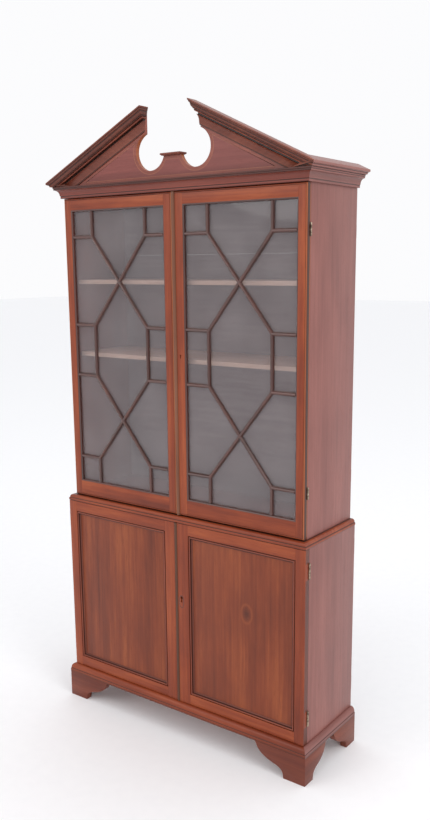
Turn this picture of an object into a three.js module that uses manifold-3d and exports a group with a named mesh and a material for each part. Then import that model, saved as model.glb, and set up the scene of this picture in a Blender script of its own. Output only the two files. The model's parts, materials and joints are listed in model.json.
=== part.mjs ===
// A miniature glazed bookcase: a two-door cupboard base on bracket feet, a shallower glazed case on top,
// and a broken pediment over a moulded cornice.
// Millimetres. +Z is up, the doors face -Y, +X is the right-hand side seen from the front.
// The origin is on the floor, under the middle of the overall box.
import * as THREE from 'three';
import Module from 'manifold-3d';
import { mergeVertices } from 'three/addons/utils/BufferGeometryUtils.js';

const wasm = await Module();
wasm.setup();

// ---- driving dimensions -------------------------------------------------------------------------

const GLUE = 0.1; // glue line between boards that meet
const CLEAR = 0.3; // clearance round moving or turned pieces

const DEPTH = 143.5; // back of the case to the front of the crown moulding
const CASE_HALF = 206; // upper case, centre to outer side face
const BASE_HALF = 213.5; // base cupboard, centre to outer side face
const PLINTH_HALF = 220.5; // plinth and feet, centre to outer side face

// depths are measured forward from the back plane
const UPPER_CASE_FRONT = 117.5;
const UPPER_DOOR_BACK = 118;
const UPPER_DOOR_FRONT = 125.5;
const BASE_CASE_FRONT = 124;
const BASE_DOOR_BACK = 124.5;
const BASE_DOOR_FRONT = 133.5;
const PLINTH_FRONT = 140.7;

// heights
const FOOT_TOP = 40.4;
const PLINTH_BOTTOM = 40.5;
const PLINTH_TOP = 53.4;
const BASE_BOTTOM = 46;
const BASE_DOOR_Z = [54, 327];
const TOP_BOARD_Z = [327.5, 336.4];
const CASE_BOTTOM = 336.5;
const UPPER_DOOR_Z = [337, 780.2];
const CASE_TOP_BOARD_Z = [773, 781];
const CORNICE_BOTTOM = 780.8;
const CORNICE_TOP = 797;
const CASE_SIDE_TOP = 806;

const BRACKET_T = 10;
const BASE_SIDE_T = 10;
const BASE_BOTTOM_T = 10;
const BASE_SHELF_T = 7;
const BASE_SHELF_FRONT = 116;
const CASE_SIDE_T = 8;
const BOARD_T = 8;
const SHELF_T = 6;
const SHELF_SETBACK = 7; // from the front of the case to the front of a shelf
const BACK_T = 5.5;
const BACK_INSET = 0.5; // from the rear edges of the sides to the back boards
const SHELF_TOPS = [557.5, 664.5];
const BASE_SHELF_TOP = 192;
const BACK_JOINT_Z = 700;

// cornice and pediment
const CORNICE_PROJECTION = 18;
const CROWN_EDGE_Z = 802.5; // top front edge of the crown at the corners
const RAKE = 0.4755; // rise of the raking mouldings per unit of width
const RAKE_DROP = 27.5; // height of the raking moulding, measured plumb
const RAKE_END = 47; // centre to the plumb end of the raking moulding
const RAKE_TIP = 40; // centre to the tip of its crown
const TYMPANUM_DEPTHS = [119.5, 125.5];
const SCOOP_RADIUS = 24.75;
const SCOOP_CENTRE = [38.3, 833.6];
const PEDESTAL_TOP = 826;
const CAP_HALF = 16.9;
const CAP_THICKNESS = 3.2;
const CAP_DEPTHS = [116.5, 131];

// bracket feet: length along the rail and width of the pad, along the front or back and along the side
const FRONT_FOOT = { across: [80, 34], along: [56, 21] };
const REAR_FOOT = { across: [44, 21], along: [62, 24] };

// doors
const UPPER_MEETING_X = -3.3;
const BASE_MEETING_X = -2.2;
const UPPER_SIGHT_Z = [362, 761.5];
const UPPER_SIGHT_X = 191; // centre to the sight edge of the hinge stile
const UPPER_INNER_SIGHT = { left: -19.9, right: 17 };
const BASE_SIGHT_Z = [69.5, 311.5];
const BASE_SIGHT_X = 198.5;
const BASE_INNER_SIGHT = { left: -20.3, right: 21.9 };
const SIGHT_OVOLO = 2.2; // width of the ovolo round the glass
const GLASS_DEPTHS = [119, 121];
const PANEL_DEPTHS = [126.3, 130.3];
const GLASS_LAP = 1.2; // how far the glass runs behind the frame
const GLASS_REBATE = 1.5;
const PANEL_LAP = 3.7; // how far a panel runs behind its frame
const PANEL_REBATE = 4;
const UPPER_BEAD = { width: 5.4, height: 2.2 };
const BASE_BEAD = { width: 4.8, height: 1.6 };
const BAR_WIDTH = 5.5;
const BAR_HEIGHT = 3.9;
const BAR_BACK = 121.1;
const BAR_X = [54, 154.5]; // lines of the upright glazing bars
const BAR_Z = [399, 524.5, 599, 725.5]; // lines of the level glazing bars

// hinges: barrel radius, leaf width, and the heights of the hinges on each pair of doors
const UPPER_HINGE = { radius: 1.2, leaf: 7, length: 16, at: { top: 726, bottom: 398 } };
const BASE_HINGE = { radius: 1.5, leaf: 8, length: 22, at: { top: 297, bottom: 90 } };
const LEAF_T = 0.7;
const AXIS_OUTSET = 0.6; // hinge axis beyond the side face
const UPPER_AXIS_DEPTH = 117.75;
const BASE_AXIS_DEPTH = 124.25;
const ROUND = 12; // sides of a barrel
const PIN_RATIO = 0.42; // radius of the pin over that of the barrel
const HINGE_PLAY = 0.1; // round the pin and between knuckles

// locks: the pocket in the stile, from its low corner to its high corner
const UPPER_LOCK = { x: [1.2, 12.6], depths: [118, 122.6], z: [552, 572], keyX: 7.8, keyHeight: 5.4 };
const BASE_LOCK = { x: [2.6, 15.6], depths: [124.5, 129.6], z: [201, 225], keyX: 8.6, keyHeight: 10 };
const BOLT_HEIGHT = 6;
const BOLT_THICKNESS = 2;

// ---- colours ------------------------------------------------------------------------------------

const wood = (colour) => new THREE.MeshStandardMaterial({ color: colour, roughness: 0.42, metalness: 0 });
const MATERIALS = {
  front: wood(0x9c4f36),
  side: wood(0xa06654),
  panel: wood(0x92503a),
  moulding: wood(0x7d3d31),
  shelf: wood(0xb98a72),
  back: wood(0x7b6158),
  glass: new THREE.MeshStandardMaterial({
    color: 0x9aa0a4,
    roughness: 0.06,
    metalness: 0,
    opacity: 0.35,
    transparent: true,
  }),
  brass: new THREE.MeshStandardMaterial({ color: 0xb08d4c, roughness: 0.35, metalness: 1 }),
  steel: new THREE.MeshStandardMaterial({ color: 0x8a8a88, roughness: 0.4, metalness: 1 }),
};

// ---- shape helpers ------------------------------------------------------------------------------

const bookcase = new THREE.Group();
const WELD = 1e-4; // corners nearer than this are one corner

/** A range made longer by the same amount at both ends. */
const grown = ([a, b], by) => [a - by, b + by];

/** Y of a point that lies `depth` in front of the back plane. */
const yAt = (depth) => DEPTH / 2 - depth;

/** A point from its X, its depth in front of the back plane, and its height. */
const point = (x, depth, z) => new THREE.Vector3(x, yAt(depth), z);

function add(name, geometry, material) {
  const mesh = new THREE.Mesh(geometry, MATERIALS[material]);
  mesh.name = name;
  bookcase.add(mesh);
}

/** A board between two X values, two depths and two heights. */
function board([x0, x1], [d0, d1], [z0, z1]) {
  const geometry = new THREE.BoxGeometry(x1 - x0, d1 - d0, z1 - z0);
  geometry.translate((x0 + x1) / 2, yAt((d0 + d1) / 2), (z0 + z1) / 2);
  return geometry;
}

/** Six times the signed volume, to see which way the faces point. */
function signedVolume(positions, triangles) {
  const corner = (i) => new THREE.Vector3().fromArray(positions, 3 * i);
  let sum = 0;
  for (let i = 0; i < triangles.length; i += 3) {
    const [a, b, c] = [corner(triangles[i]), corner(triangles[i + 1]), corner(triangles[i + 2])];
    sum += a.dot(b.cross(c));
  }
  return sum;
}

/** A closed body from corner points and triangles, with repeated corners merged and faces pointing out. */
function closedBody(points, triangles) {
  let geometry = new THREE.BufferGeometry().setFromPoints(points);
  geometry.setIndex(triangles);
  geometry = mergeVertices(geometry, WELD);
  const index = [...geometry.getIndex().array];
  const kept = [];
  for (let i = 0; i < index.length; i += 3) {
    const [a, b, c] = index.slice(i, i + 3);
    if (a !== b && b !== c && a !== c) kept.push(a, b, c);
  }
  if (signedVolume(geometry.getAttribute('position').array, kept) < 0) kept.reverse();
  geometry.setIndex(kept);
  return geometry;
}

/** Joins sections with the same number of corners. An open run is capped; a ring closes on itself. */
function loft(sections, { ring = false, cap = null } = {}) {
  const count = sections[0].length;
  const triangles = [];
  const spans = ring ? sections.length : sections.length - 1;
  for (let s = 0; s < spans; s += 1) {
    const a = s * count;
    const b = ((s + 1) % sections.length) * count;
    for (let i = 0; i < count; i += 1) {
      const j = (i + 1) % count;
      triangles.push(a + i, a + j, b + j, a + i, b + j, b + i);
    }
  }
  if (!ring) {
    const last = (sections.length - 1) * count;
    for (const [i, j, k] of THREE.ShapeUtils.triangulateShape(cap, [])) {
      triangles.push(k, j, i, last + i, last + j, last + k);
    }
  }
  return closedBody(sections.flat(), triangles);
}

/** A profile of [out, z] corners run from one end to the other; ends map a corner to a point. */
function moulding(profile, ...ends) {
  const corners = profile.map(([out, z]) => new THREE.Vector2(out, z));
  const cap = THREE.ShapeUtils.isClockWise(corners) ? corners.reverse() : corners;
  return loft(ends.map((end) => cap.map((c) => end(c.x, c.y))), { cap });
}

/** Corners along a quarter round from one point to another, bulging towards `via`. */
function quarter([x0, z0], [x1, z1], [vx, vz], steps = 4) {
  const curve = new THREE.QuadraticBezierCurve(
    new THREE.Vector2(x0, z0),
    new THREE.Vector2(vx, vz),
    new THREE.Vector2(x1, z1),
  );
  return curve.getPoints(steps).map((p) => [p.x, p.y]);
}

/** A frame with mitred corners: the outer rectangle, then a profile of [inset, depth] round the opening. */
function mitredFrame([x0, x1], [z0, z1], opening, [back, front], profile) {
  const corners = [
    { outer: [x0, z0], inner: [opening.x[0], opening.z[0]], towards: [1, 1] },
    { outer: [x1, z0], inner: [opening.x[1], opening.z[0]], towards: [-1, 1] },
    { outer: [x1, z1], inner: [opening.x[1], opening.z[1]], towards: [-1, -1] },
    { outer: [x0, z1], inner: [opening.x[0], opening.z[1]], towards: [1, -1] },
  ];
  const sections = corners.map(({ outer, inner, towards }) => [
    point(outer[0], back, outer[1]),
    point(outer[0], front, outer[1]),
    ...profile.map(([inset, depth]) =>
      point(inner[0] + towards[0] * inset, depth, inner[1] + towards[1] * inset)),
  ]);
  return loft(sections, { ring: true });
}

/** A slab whose edge follows a profile of [out, z] levels on its front and ends, and on its back if asked. */
function mouldedSlab(levels, halfWidth, [back, front], mouldedBack = false) {
  const sections = levels.map(([out, z]) => {
    const rear = mouldedBack ? back - out : back;
    return [
      point(-halfWidth - out, rear, z),
      point(halfWidth + out, rear, z),
      point(halfWidth + out, front + out, z),
      point(-halfWidth - out, front + out, z),
    ];
  });
  const square = [[0, 0], [1, 0], [1, 1], [0, 1]].map(([x, y]) => new THREE.Vector2(x, y));
  return loft(sections, { cap: square });
}

/** A solid that can be joined and cut. */
function solid(geometry) {
  let g = geometry.clone();
  g.deleteAttribute('normal');
  g.deleteAttribute('uv');
  g = mergeVertices(g, WELD);
  return new wasm.Manifold(new wasm.Mesh({
    numProp: 3,
    vertProperties: new Float32Array(g.getAttribute('position').array),
    triVerts: new Uint32Array(g.getIndex().array),
  }));
}

function toGeometry(manifold) {
  const mesh = manifold.getMesh();
  const geometry = new THREE.BufferGeometry();
  geometry.setAttribute('position', new THREE.BufferAttribute(new Float32Array(mesh.vertProperties), 3));
  geometry.setIndex(new THREE.BufferAttribute(new Uint32Array(mesh.triVerts), 1));
  return geometry;
}

const union = (geometries) => geometries.map(solid).reduce((a, b) => a.add(b));
const cut = (geometry, cutters) =>
  toGeometry(cutters.map(solid).reduce((a, b) => a.subtract(b), solid(geometry)));

/** An upright round bar. */
function upright(radius, x, depth, [z0, z1]) {
  const geometry = new THREE.CylinderGeometry(radius, radius, z1 - z0, ROUND);
  geometry.rotateX(Math.PI / 2);
  geometry.translate(x, yAt(depth), (z0 + z1) / 2);
  return geometry;
}

/** The same X range on the other side of the centre. */
const mirrored = ([x0, x1]) => [-x1, -x0];
const onSide = (side, range) => (side === 'right' ? range : mirrored(range));
const sign = (side) => (side === 'right' ? 1 : -1);
const SIDES = ['left', 'right'];

// ---- hinges -------------------------------------------------------------------------------------

/** The places of one hinge: its axis, its height range and the heights of its five knuckles. */
function hingePlace(spec, side, half, axisDepth, z) {
  const zRange = [z - spec.length / 2, z + spec.length / 2];
  const step = spec.length / 5;
  const knuckle = (i) => [zRange[0] + i * step, zRange[0] + (i + 1) * step];
  return { spec, side, half, axisDepth, axisX: sign(side) * (half + AXIS_OUTSET), zRange, knuckle };
}

/** One leaf with its knuckles. The case leaf keeps the pin and knuckles 0, 2, 4; the door leaf has 1, 3. */
function hingeLeaf(place, isCaseLeaf) {
  const { spec, side, half, axisDepth, axisX, zRange, knuckle } = place;
  const inner = half - spec.leaf;
  const depths = isCaseLeaf
    ? [axisDepth - CLEAR / 2 - LEAF_T, axisDepth - CLEAR / 2]
    : [axisDepth + CLEAR / 2, axisDepth + CLEAR / 2 + LEAF_T];
  const own = isCaseLeaf ? [0, 2, 4] : [1, 3];
  const others = isCaseLeaf ? [1, 3] : [0, 2, 4];
  const leaf = board(onSide(side, [inner, half + AXIS_OUTSET]), depths, zRange);
  let hinge = solid(leaf);
  for (const i of others) {
    const notch = upright(spec.radius + 2 * HINGE_PLAY, axisX, axisDepth, grown(knuckle(i), HINGE_PLAY));
    hinge = hinge.subtract(solid(notch));
  }
  for (const i of own) hinge = hinge.add(solid(upright(spec.radius, axisX, axisDepth, knuckle(i))));
  const pin = upright(spec.radius * PIN_RATIO, axisX, axisDepth, zRange);
  const bore = upright(spec.radius * PIN_RATIO + HINGE_PLAY, axisX, axisDepth, grown(zRange, 1));
  return toGeometry(isCaseLeaf ? hinge.add(solid(pin)) : hinge.subtract(solid(bore)));
}

/** What has to be cut from a side board or a door stile to let the hinge in. */
function hingePocket({ spec, side, half, axisDepth, axisX, zRange }) {
  const air = 0.15;
  const z = grown(zRange, air);
  const reach = LEAF_T + CLEAR / 2 + air;
  return [
    board(onSide(side, [half - spec.leaf - air, half + 3]), [axisDepth - reach, axisDepth + reach], z),
    upright(spec.radius + CLEAR, axisX, axisDepth, z),
  ];
}

const hinges = [];
for (const side of SIDES) {
  for (const end of ['top', 'bottom']) {
    hinges.push({
      name: `upper_${side}_${end}`,
      ...hingePlace(UPPER_HINGE, side, CASE_HALF, UPPER_AXIS_DEPTH, UPPER_HINGE.at[end]),
    });
    hinges.push({
      name: `lower_${side}_${end}`,
      ...hingePlace(BASE_HINGE, side, BASE_HALF, BASE_AXIS_DEPTH, BASE_HINGE.at[end]),
    });
  }
}
for (const hinge of hinges) {
  add(`${hinge.name}_hinge_case_leaf`, hingeLeaf(hinge, true), 'brass');
  add(`${hinge.name}_hinge_door_leaf`, hingeLeaf(hinge, false), 'brass');
}
const pocketsOf = (level, side) =>
  hinges.filter((h) => h.name.startsWith(`${level}_${side}`)).flatMap(hingePocket);

// ---- base cupboard ------------------------------------------------------------------------------

const baseInner = BASE_HALF - BASE_SIDE_T;
const baseBetween = [-baseInner + GLUE, baseInner - GLUE];
for (const side of SIDES) {
  const panel = board(
    onSide(side, [baseInner, BASE_HALF]),
    [0, BASE_CASE_FRONT],
    [PLINTH_BOTTOM + 0.5, TOP_BOARD_Z[0] - GLUE],
  );
  add(`base_${side}_side`, cut(panel, pocketsOf('lower', side)), 'side');
}
const backDepths = [BACK_INSET, BACK_INSET + BACK_T];
const inFrontOfBack = backDepths[1] + GLUE;
add('base_bottom_board',
  board(baseBetween, [inFrontOfBack, BASE_CASE_FRONT], [BASE_BOTTOM, BASE_BOTTOM + BASE_BOTTOM_T]), 'side');
add('base_back_panel', board(baseBetween, backDepths, [BASE_BOTTOM, TOP_BOARD_Z[0] - GLUE]), 'back');
const baseShelfZ = [BASE_SHELF_TOP - BASE_SHELF_T, BASE_SHELF_TOP];
const baseShelfX = [-baseInner + CLEAR, baseInner - CLEAR];
add('base_shelf', board(baseShelfX, [inFrontOfBack, BASE_SHELF_FRONT], baseShelfZ), 'shelf');

/** The top board's edge: a flat fillet with a quarter round above it. */
const topBoardEdge = [
  [0.5, TOP_BOARD_Z[0]],
  [0.5, TOP_BOARD_Z[0] + 4],
  ...quarter([-0.3, TOP_BOARD_Z[0] + 4.3], [-6.3, TOP_BOARD_Z[1]], [-0.5, TOP_BOARD_Z[1] - 0.4]),
];
add('base_top_board', mouldedSlab(topBoardEdge, BASE_HALF, [0, BASE_DOOR_FRONT]), 'front');

/** A moulding along one side, from the back to its mitre. `front` is the depth of the corner's outer edge. */
const sideRun = (profile, side, half, front) => moulding(
  profile,
  (out, z) => point(sign(side) * (half + out), 0, z),
  (out, z) => point(sign(side) * (half + out), front + out - GLUE, z),
);

/** A moulding along the front, mitred at both ends, with a straight block behind it back to `backDepth`. */
function frontRun(profile, half, front, backDepth) {
  const [inner, bottom] = profile[0];
  const top = profile[profile.length - 1][1];
  const face = moulding(
    profile,
    (out, z) => point(-half - out, front + out, z),
    (out, z) => point(half + out, front + out, z),
  );
  const reach = half + inner - GLUE;
  return toGeometry(union([face, board([-reach, reach], [backDepth, front + inner], [bottom, top])]));
}

// plinth moulding: a flat rail with a quarter round above it
const plinthInner = BASE_HALF + GLUE - PLINTH_HALF;
const plinthProfile = [
  [plinthInner, PLINTH_BOTTOM],
  [0, PLINTH_BOTTOM],
  [0, PLINTH_BOTTOM + 4.8],
  ...quarter([-0.7, PLINTH_BOTTOM + 5.2], [-6, PLINTH_TOP], [-1, PLINTH_TOP - 0.8]),
  [plinthInner, PLINTH_TOP],
];
for (const side of SIDES) {
  add(`plinth_moulding_${side}`, sideRun(plinthProfile, side, PLINTH_HALF, PLINTH_FRONT), 'moulding');
}
add('plinth_moulding_front',
  frontRun(plinthProfile, PLINTH_HALF, PLINTH_FRONT, BASE_CASE_FRONT + GLUE), 'moulding');

// bracket feet: two brackets in an L, each with a pad, a rounded ankle and a hollow up to the rail
const bracketOutline = (length, pad) => [
  [0, 0],
  [pad, 0],
  ...quarter([pad + 0.8, 5], [pad + 7, 14], [pad + 1.2, 11], 3),
  ...quarter([pad + 13, 16.5], [length, FOOT_TOP], [length - 4, 23], 5),
  [0, FOOT_TOP],
];
function foot(side, cornerDepth, inwards, { across, along }) {
  const s = sign(side);
  const alongFront = moulding(
    bracketOutline(...across),
    (u, z) => point(s * (PLINTH_HALF - u), cornerDepth, z),
    (u, z) => point(s * (PLINTH_HALF - u), cornerDepth + inwards * BRACKET_T, z),
  );
  const alongSide = moulding(
    bracketOutline(...along),
    (u, z) => point(s * PLINTH_HALF, cornerDepth + inwards * u, z),
    (u, z) => point(s * (PLINTH_HALF - BRACKET_T), cornerDepth + inwards * u, z),
  );
  return toGeometry(union([alongFront, alongSide]));
}
for (const side of SIDES) {
  add(`front_${side}_foot`, foot(side, PLINTH_FRONT, -1, FRONT_FOOT), 'moulding');
  add(`rear_${side}_foot`, foot(side, 0, 1, REAR_FOOT), 'moulding');
}

// ---- upper case ---------------------------------------------------------------------------------

const caseInner = CASE_HALF - CASE_SIDE_T;
const caseBetween = [-caseInner + GLUE, caseInner - GLUE];
for (const side of SIDES) {
  const panel = board(
    onSide(side, [caseInner, CASE_HALF]),
    [0, UPPER_CASE_FRONT],
    [CASE_BOTTOM, CASE_SIDE_TOP],
  );
  add(`case_${side}_side`, cut(panel, pocketsOf('upper', side)), 'side');
}
const caseDepths = [inFrontOfBack, UPPER_CASE_FRONT];
add('case_bottom_board', board(caseBetween, caseDepths, [CASE_BOTTOM, CASE_BOTTOM + BOARD_T]), 'side');
add('case_top_board', board(caseBetween, caseDepths, CASE_TOP_BOARD_Z), 'side');
add('back_board_lower', board(caseBetween, backDepths, [CASE_BOTTOM, BACK_JOINT_Z - GLUE]), 'back');
add('back_board_upper', board(caseBetween, backDepths, [BACK_JOINT_Z + GLUE, CASE_TOP_BOARD_Z[1]]), 'back');
const shelfX = [-caseInner + CLEAR, caseInner - CLEAR];
const shelfDepths = [inFrontOfBack, UPPER_CASE_FRONT - SHELF_SETBACK];
['lower_shelf', 'upper_shelf'].forEach((name, i) => {
  add(name, board(shelfX, shelfDepths, [SHELF_TOPS[i] - SHELF_T, SHELF_TOPS[i]]), 'shelf');
});

// ---- cornice ------------------------------------------------------------------------------------

/** The members that all three sides share: bottom fillet, cove and upper fillet. */
const corniceFace = [
  [3.4, CORNICE_BOTTOM],
  [3.4, CORNICE_BOTTOM + 3.6],
  ...quarter([4, CORNICE_BOTTOM + 4], [9.2, CORNICE_TOP - 4.6], [4.6, CORNICE_TOP - 6], 5),
  [10.4, CORNICE_TOP - 4.4],
  [10.4, CORNICE_TOP - 0.4],
];
/** Height of the raking top at a distance from the centre. */
const rakeTop = (x) => CROWN_EDGE_Z + RAKE * (CASE_HALF + CORNICE_PROJECTION - Math.abs(x));
const sideCornice = [
  [GLUE, CORNICE_BOTTOM],
  ...corniceFace,
  [14, CORNICE_TOP],
  [14.6, CORNICE_TOP + 2.2],
  [16.8, CORNICE_TOP + 2.6],
  [CORNICE_PROJECTION, CORNICE_TOP + 3.6],
  [CORNICE_PROJECTION, CROWN_EDGE_Z],
  [GLUE, rakeTop(CASE_HALF + GLUE)],
];
for (const side of SIDES) {
  add(`cornice_${side}`, sideRun(sideCornice, side, CASE_HALF, UPPER_DOOR_FRONT), 'moulding');
}
const frontCornice = [
  [GLUE, CORNICE_BOTTOM],
  ...corniceFace,
  [GLUE, CORNICE_TOP - 0.4],
];
add('cornice_front',
  frontRun(frontCornice, CASE_HALF, UPPER_DOOR_FRONT, UPPER_CASE_FRONT + GLUE), 'moulding');

// ---- broken pediment ----------------------------------------------------------------------------

const TYMPANUM_LAP = 4; // the board stops this far below the top of the raking mouldings
function tympanumOutline() {
  const [cx, cz] = SCOOP_CENTRE;
  const end = CASE_HALF - GLUE;
  const plumb = RAKE_END + 0.2;
  const top = Math.acos((plumb - cx) / SCOOP_RADIUS); // where the scoop meets the plumb end
  const neck = Math.asin((cz - PEDESTAL_TOP) / SCOOP_RADIUS); // where it meets the pedestal's top
  const shape = new THREE.Shape();
  shape.moveTo(-end, CORNICE_TOP - 0.3);
  shape.lineTo(end, CORNICE_TOP - 0.3);
  shape.lineTo(end, rakeTop(end) - TYMPANUM_LAP);
  shape.lineTo(plumb, rakeTop(plumb) - TYMPANUM_LAP);
  shape.absarc(cx, cz, SCOOP_RADIUS, top, -Math.PI + neck, true);
  shape.absarc(-cx, cz, SCOOP_RADIUS, -neck, Math.PI - top - 2 * Math.PI, true);
  shape.lineTo(-plumb, rakeTop(plumb) - TYMPANUM_LAP);
  shape.lineTo(-end, rakeTop(end) - TYMPANUM_LAP);
  shape.closePath();
  return shape.getPoints(14).slice(0, -1).map((p) => [p.x, p.y]);
}
add('pediment_tympanum', moulding(
  tympanumOutline(),
  (x, z) => point(x, TYMPANUM_DEPTHS[0], z),
  (x, z) => point(x, TYMPANUM_DEPTHS[1], z),
), 'front');

/** Raking moulding, as [projection, drop below its top]: crown, bead, cove and bottom fillet. */
const rakeProfile = [
  [GLUE, -RAKE_DROP],
  [1.2, -RAKE_DROP],
  [1.2, -RAKE_DROP + 1.5],
  ...quarter([1.8, -25.4], [6, -15], [2.2, -18], 4),
  [6, -13.2],
  [8.6, -13],
  [8.6, -10.4],
  [11, -10],
  [11, -9.2],
  ...quarter([11.4, -8.8], [15.4, -3], [14.6, -6.6], 3),
  [15.8, -2.3],
  [CORNICE_PROJECTION, -2],
  [CORNICE_PROJECTION, 0],
  [GLUE, 0],
];
/** It starts at the corner mitre, rises to its plumb end, and returns there to the tympanum. */
function rakingMoulding(side) {
  const s = sign(side);
  const returnRatio = (RAKE_END - RAKE_TIP) / CORNICE_PROJECTION;
  const run = moulding(
    rakeProfile,
    (out, drop) => point(s * (CASE_HALF + out), UPPER_DOOR_FRONT + out, rakeTop(CASE_HALF + out) + drop),
    (out, drop) => {
      const x = RAKE_END - returnRatio * out;
      return point(s * x, UPPER_DOOR_FRONT + out, rakeTop(x) + drop);
    },
    (out, drop) => {
      const x = RAKE_END - returnRatio * out;
      return point(s * x, UPPER_DOOR_FRONT + GLUE, rakeTop(x) + drop);
    },
  );
  const below = board(grown([-CASE_HALF, CASE_HALF], 50), grown([0, DEPTH], 50), [0, CORNICE_TOP - 0.3]);
  return cut(run, [below]);
}
for (const side of SIDES) add(`raking_moulding_${side}`, rakingMoulding(side), 'moulding');

const capBottom = PEDESTAL_TOP + GLUE;
const capEdge = [
  [-1.4, capBottom],
  [-1, capBottom + 0.8],
  [0, capBottom + 1.1],
  [0, capBottom + CAP_THICKNESS - 0.5],
  [-0.6, capBottom + CAP_THICKNESS],
];
add('pedestal_cap', mouldedSlab(capEdge, CAP_HALF, CAP_DEPTHS, true), 'moulding');

// ---- locks --------------------------------------------------------------------------------------

/** The boxes of one lock: its pocket, the bolt's slot, the bolt's mortise opposite, and the keyhole. */
function lockShapes({ x, depths, z, keyX, keyHeight }, meetingX, doorFront) {
  const middle = (depths[0] + depths[1]) / 2;
  const level = (z[0] + z[1]) / 2;
  const boltZ = [level - BOLT_HEIGHT / 2, level + BOLT_HEIGHT / 2];
  const boltDepths = [middle - BOLT_THICKNESS / 2, middle + BOLT_THICKNESS / 2];
  const slotZ = grown(boltZ, CLEAR);
  const slotDepths = grown(boltDepths, CLEAR);
  const keyZ = [level - keyHeight / 2, level + keyHeight / 2];
  const boltEnd = keyX - 1;
  const caseBody = board(grown(x, -GLUE), grown(depths, -GLUE), grown(z, -GLUE));
  return {
    pocket: board(x, [depths[0] - 1, depths[1]], z),
    slot: board([meetingX - 1, x[0] + 1], slotDepths, slotZ),
    mortise: board([meetingX - 6, meetingX + 1], slotDepths, slotZ),
    keyhole: board([keyX - 1.1, keyX + 1.1], [depths[1] - 1, doorFront + 1], keyZ),
    lockCase: cut(caseBody, [board([x[0] - 1, boltEnd + CLEAR], slotDepths, slotZ)]),
    bolt: board([meetingX + 0.2, boltEnd], boltDepths, boltZ),
  };
}
const upperLock = lockShapes(UPPER_LOCK, UPPER_MEETING_X, UPPER_DOOR_FRONT);
const baseLock = lockShapes(BASE_LOCK, BASE_MEETING_X, BASE_DOOR_FRONT);
add('upper_lock_case', upperLock.lockCase, 'steel');
add('upper_lock_bolt', upperLock.bolt, 'brass');
add('lower_lock_case', baseLock.lockCase, 'steel');
add('lower_lock_bolt', baseLock.bolt, 'brass');

/** What is cut from a door for its lock: the lock is in the right door, and its bolt enters the left. */
const lockCuts = (lock, side) => (side === 'right' ? [lock.pocket, lock.slot, lock.keyhole] : [lock.mortise]);

// ---- doors --------------------------------------------------------------------------------------

/** X range of a leaf, from its meeting edge to its hinge edge. */
const leafRange = (side, meetingX, half) => (side === 'right' ? [meetingX, half] : [-half, meetingX - CLEAR]);
const openingX = (side, inner, outer) => (side === 'right' ? [inner.right, outer] : [-outer, inner.left]);

/** A meeting bead: a half round along the free edge of a right-hand door. */
function meetingBead(x0, { width, height }, doorFront, [z0, z1]) {
  const profile = [];
  for (let i = 0; i <= 6; i += 1) {
    const angle = (Math.PI * i) / 6;
    profile.push([x0 + (width / 2) * (1 - Math.cos(angle)), doorFront + GLUE + height * Math.sin(angle)]);
  }
  return moulding(profile, (x, depth) => point(x, depth, z0), (x, depth) => point(x, depth, z1));
}

/** One glazing bar with a rounded face, between two [x, z] places. */
function glazingBar([x0, z0], [x1, z1]) {
  const length = Math.hypot(x1 - x0, z1 - z0);
  const across = [-(z1 - z0) / length, (x1 - x0) / length];
  const half = BAR_WIDTH / 2;
  const section = [
    [-half, 0],
    [half, 0],
    [half, 1.2],
    [half * 0.68, 3],
    [0, BAR_HEIGHT],
    [-half * 0.68, 3],
    [-half, 1.2],
  ];
  const at = (x, z) => (w, h) => point(x + across[0] * w, BAR_BACK + h, z + across[1] * w);
  return moulding(section, at(x0, z0), at(x1, z1));
}

/** The lattice: a square in each corner, a tall light at mid height on each side, and two crosses. */
function glazingLattice(side, clearX) {
  const uprights = side === 'right' ? BAR_X : BAR_X.map((x) => -x).reverse();
  const [bottomZ, lowMidZ, highMidZ, topZ] = BAR_Z;
  const [xLow, xHigh] = grown(clearX, -GLUE);
  const [zLow, zHigh] = grown(UPPER_SIGHT_Z, -GLUE);
  const lap = BAR_WIDTH / 2 - 0.3;
  const bars = [];
  uprights.forEach((x, i) => {
    const edge = i === 0 ? xLow : xHigh;
    const inwards = i === 0 ? lap : -lap;
    bars.push(glazingBar([x, zLow], [x, bottomZ + lap]));
    bars.push(glazingBar([x, lowMidZ - lap], [x, highMidZ + lap]));
    bars.push(glazingBar([x, topZ - lap], [x, zHigh]));
    for (const z of BAR_Z) bars.push(glazingBar([edge, z], [x + inwards, z]));
  });
  const [xa, xb] = uprights;
  for (const [low, high] of [[bottomZ, lowMidZ], [highMidZ, topZ]]) {
    bars.push(glazingBar([xa, low], [xb, high]));
    bars.push(glazingBar([xa, high], [xb, low]));
  }
  return toGeometry(union(bars));
}

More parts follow.
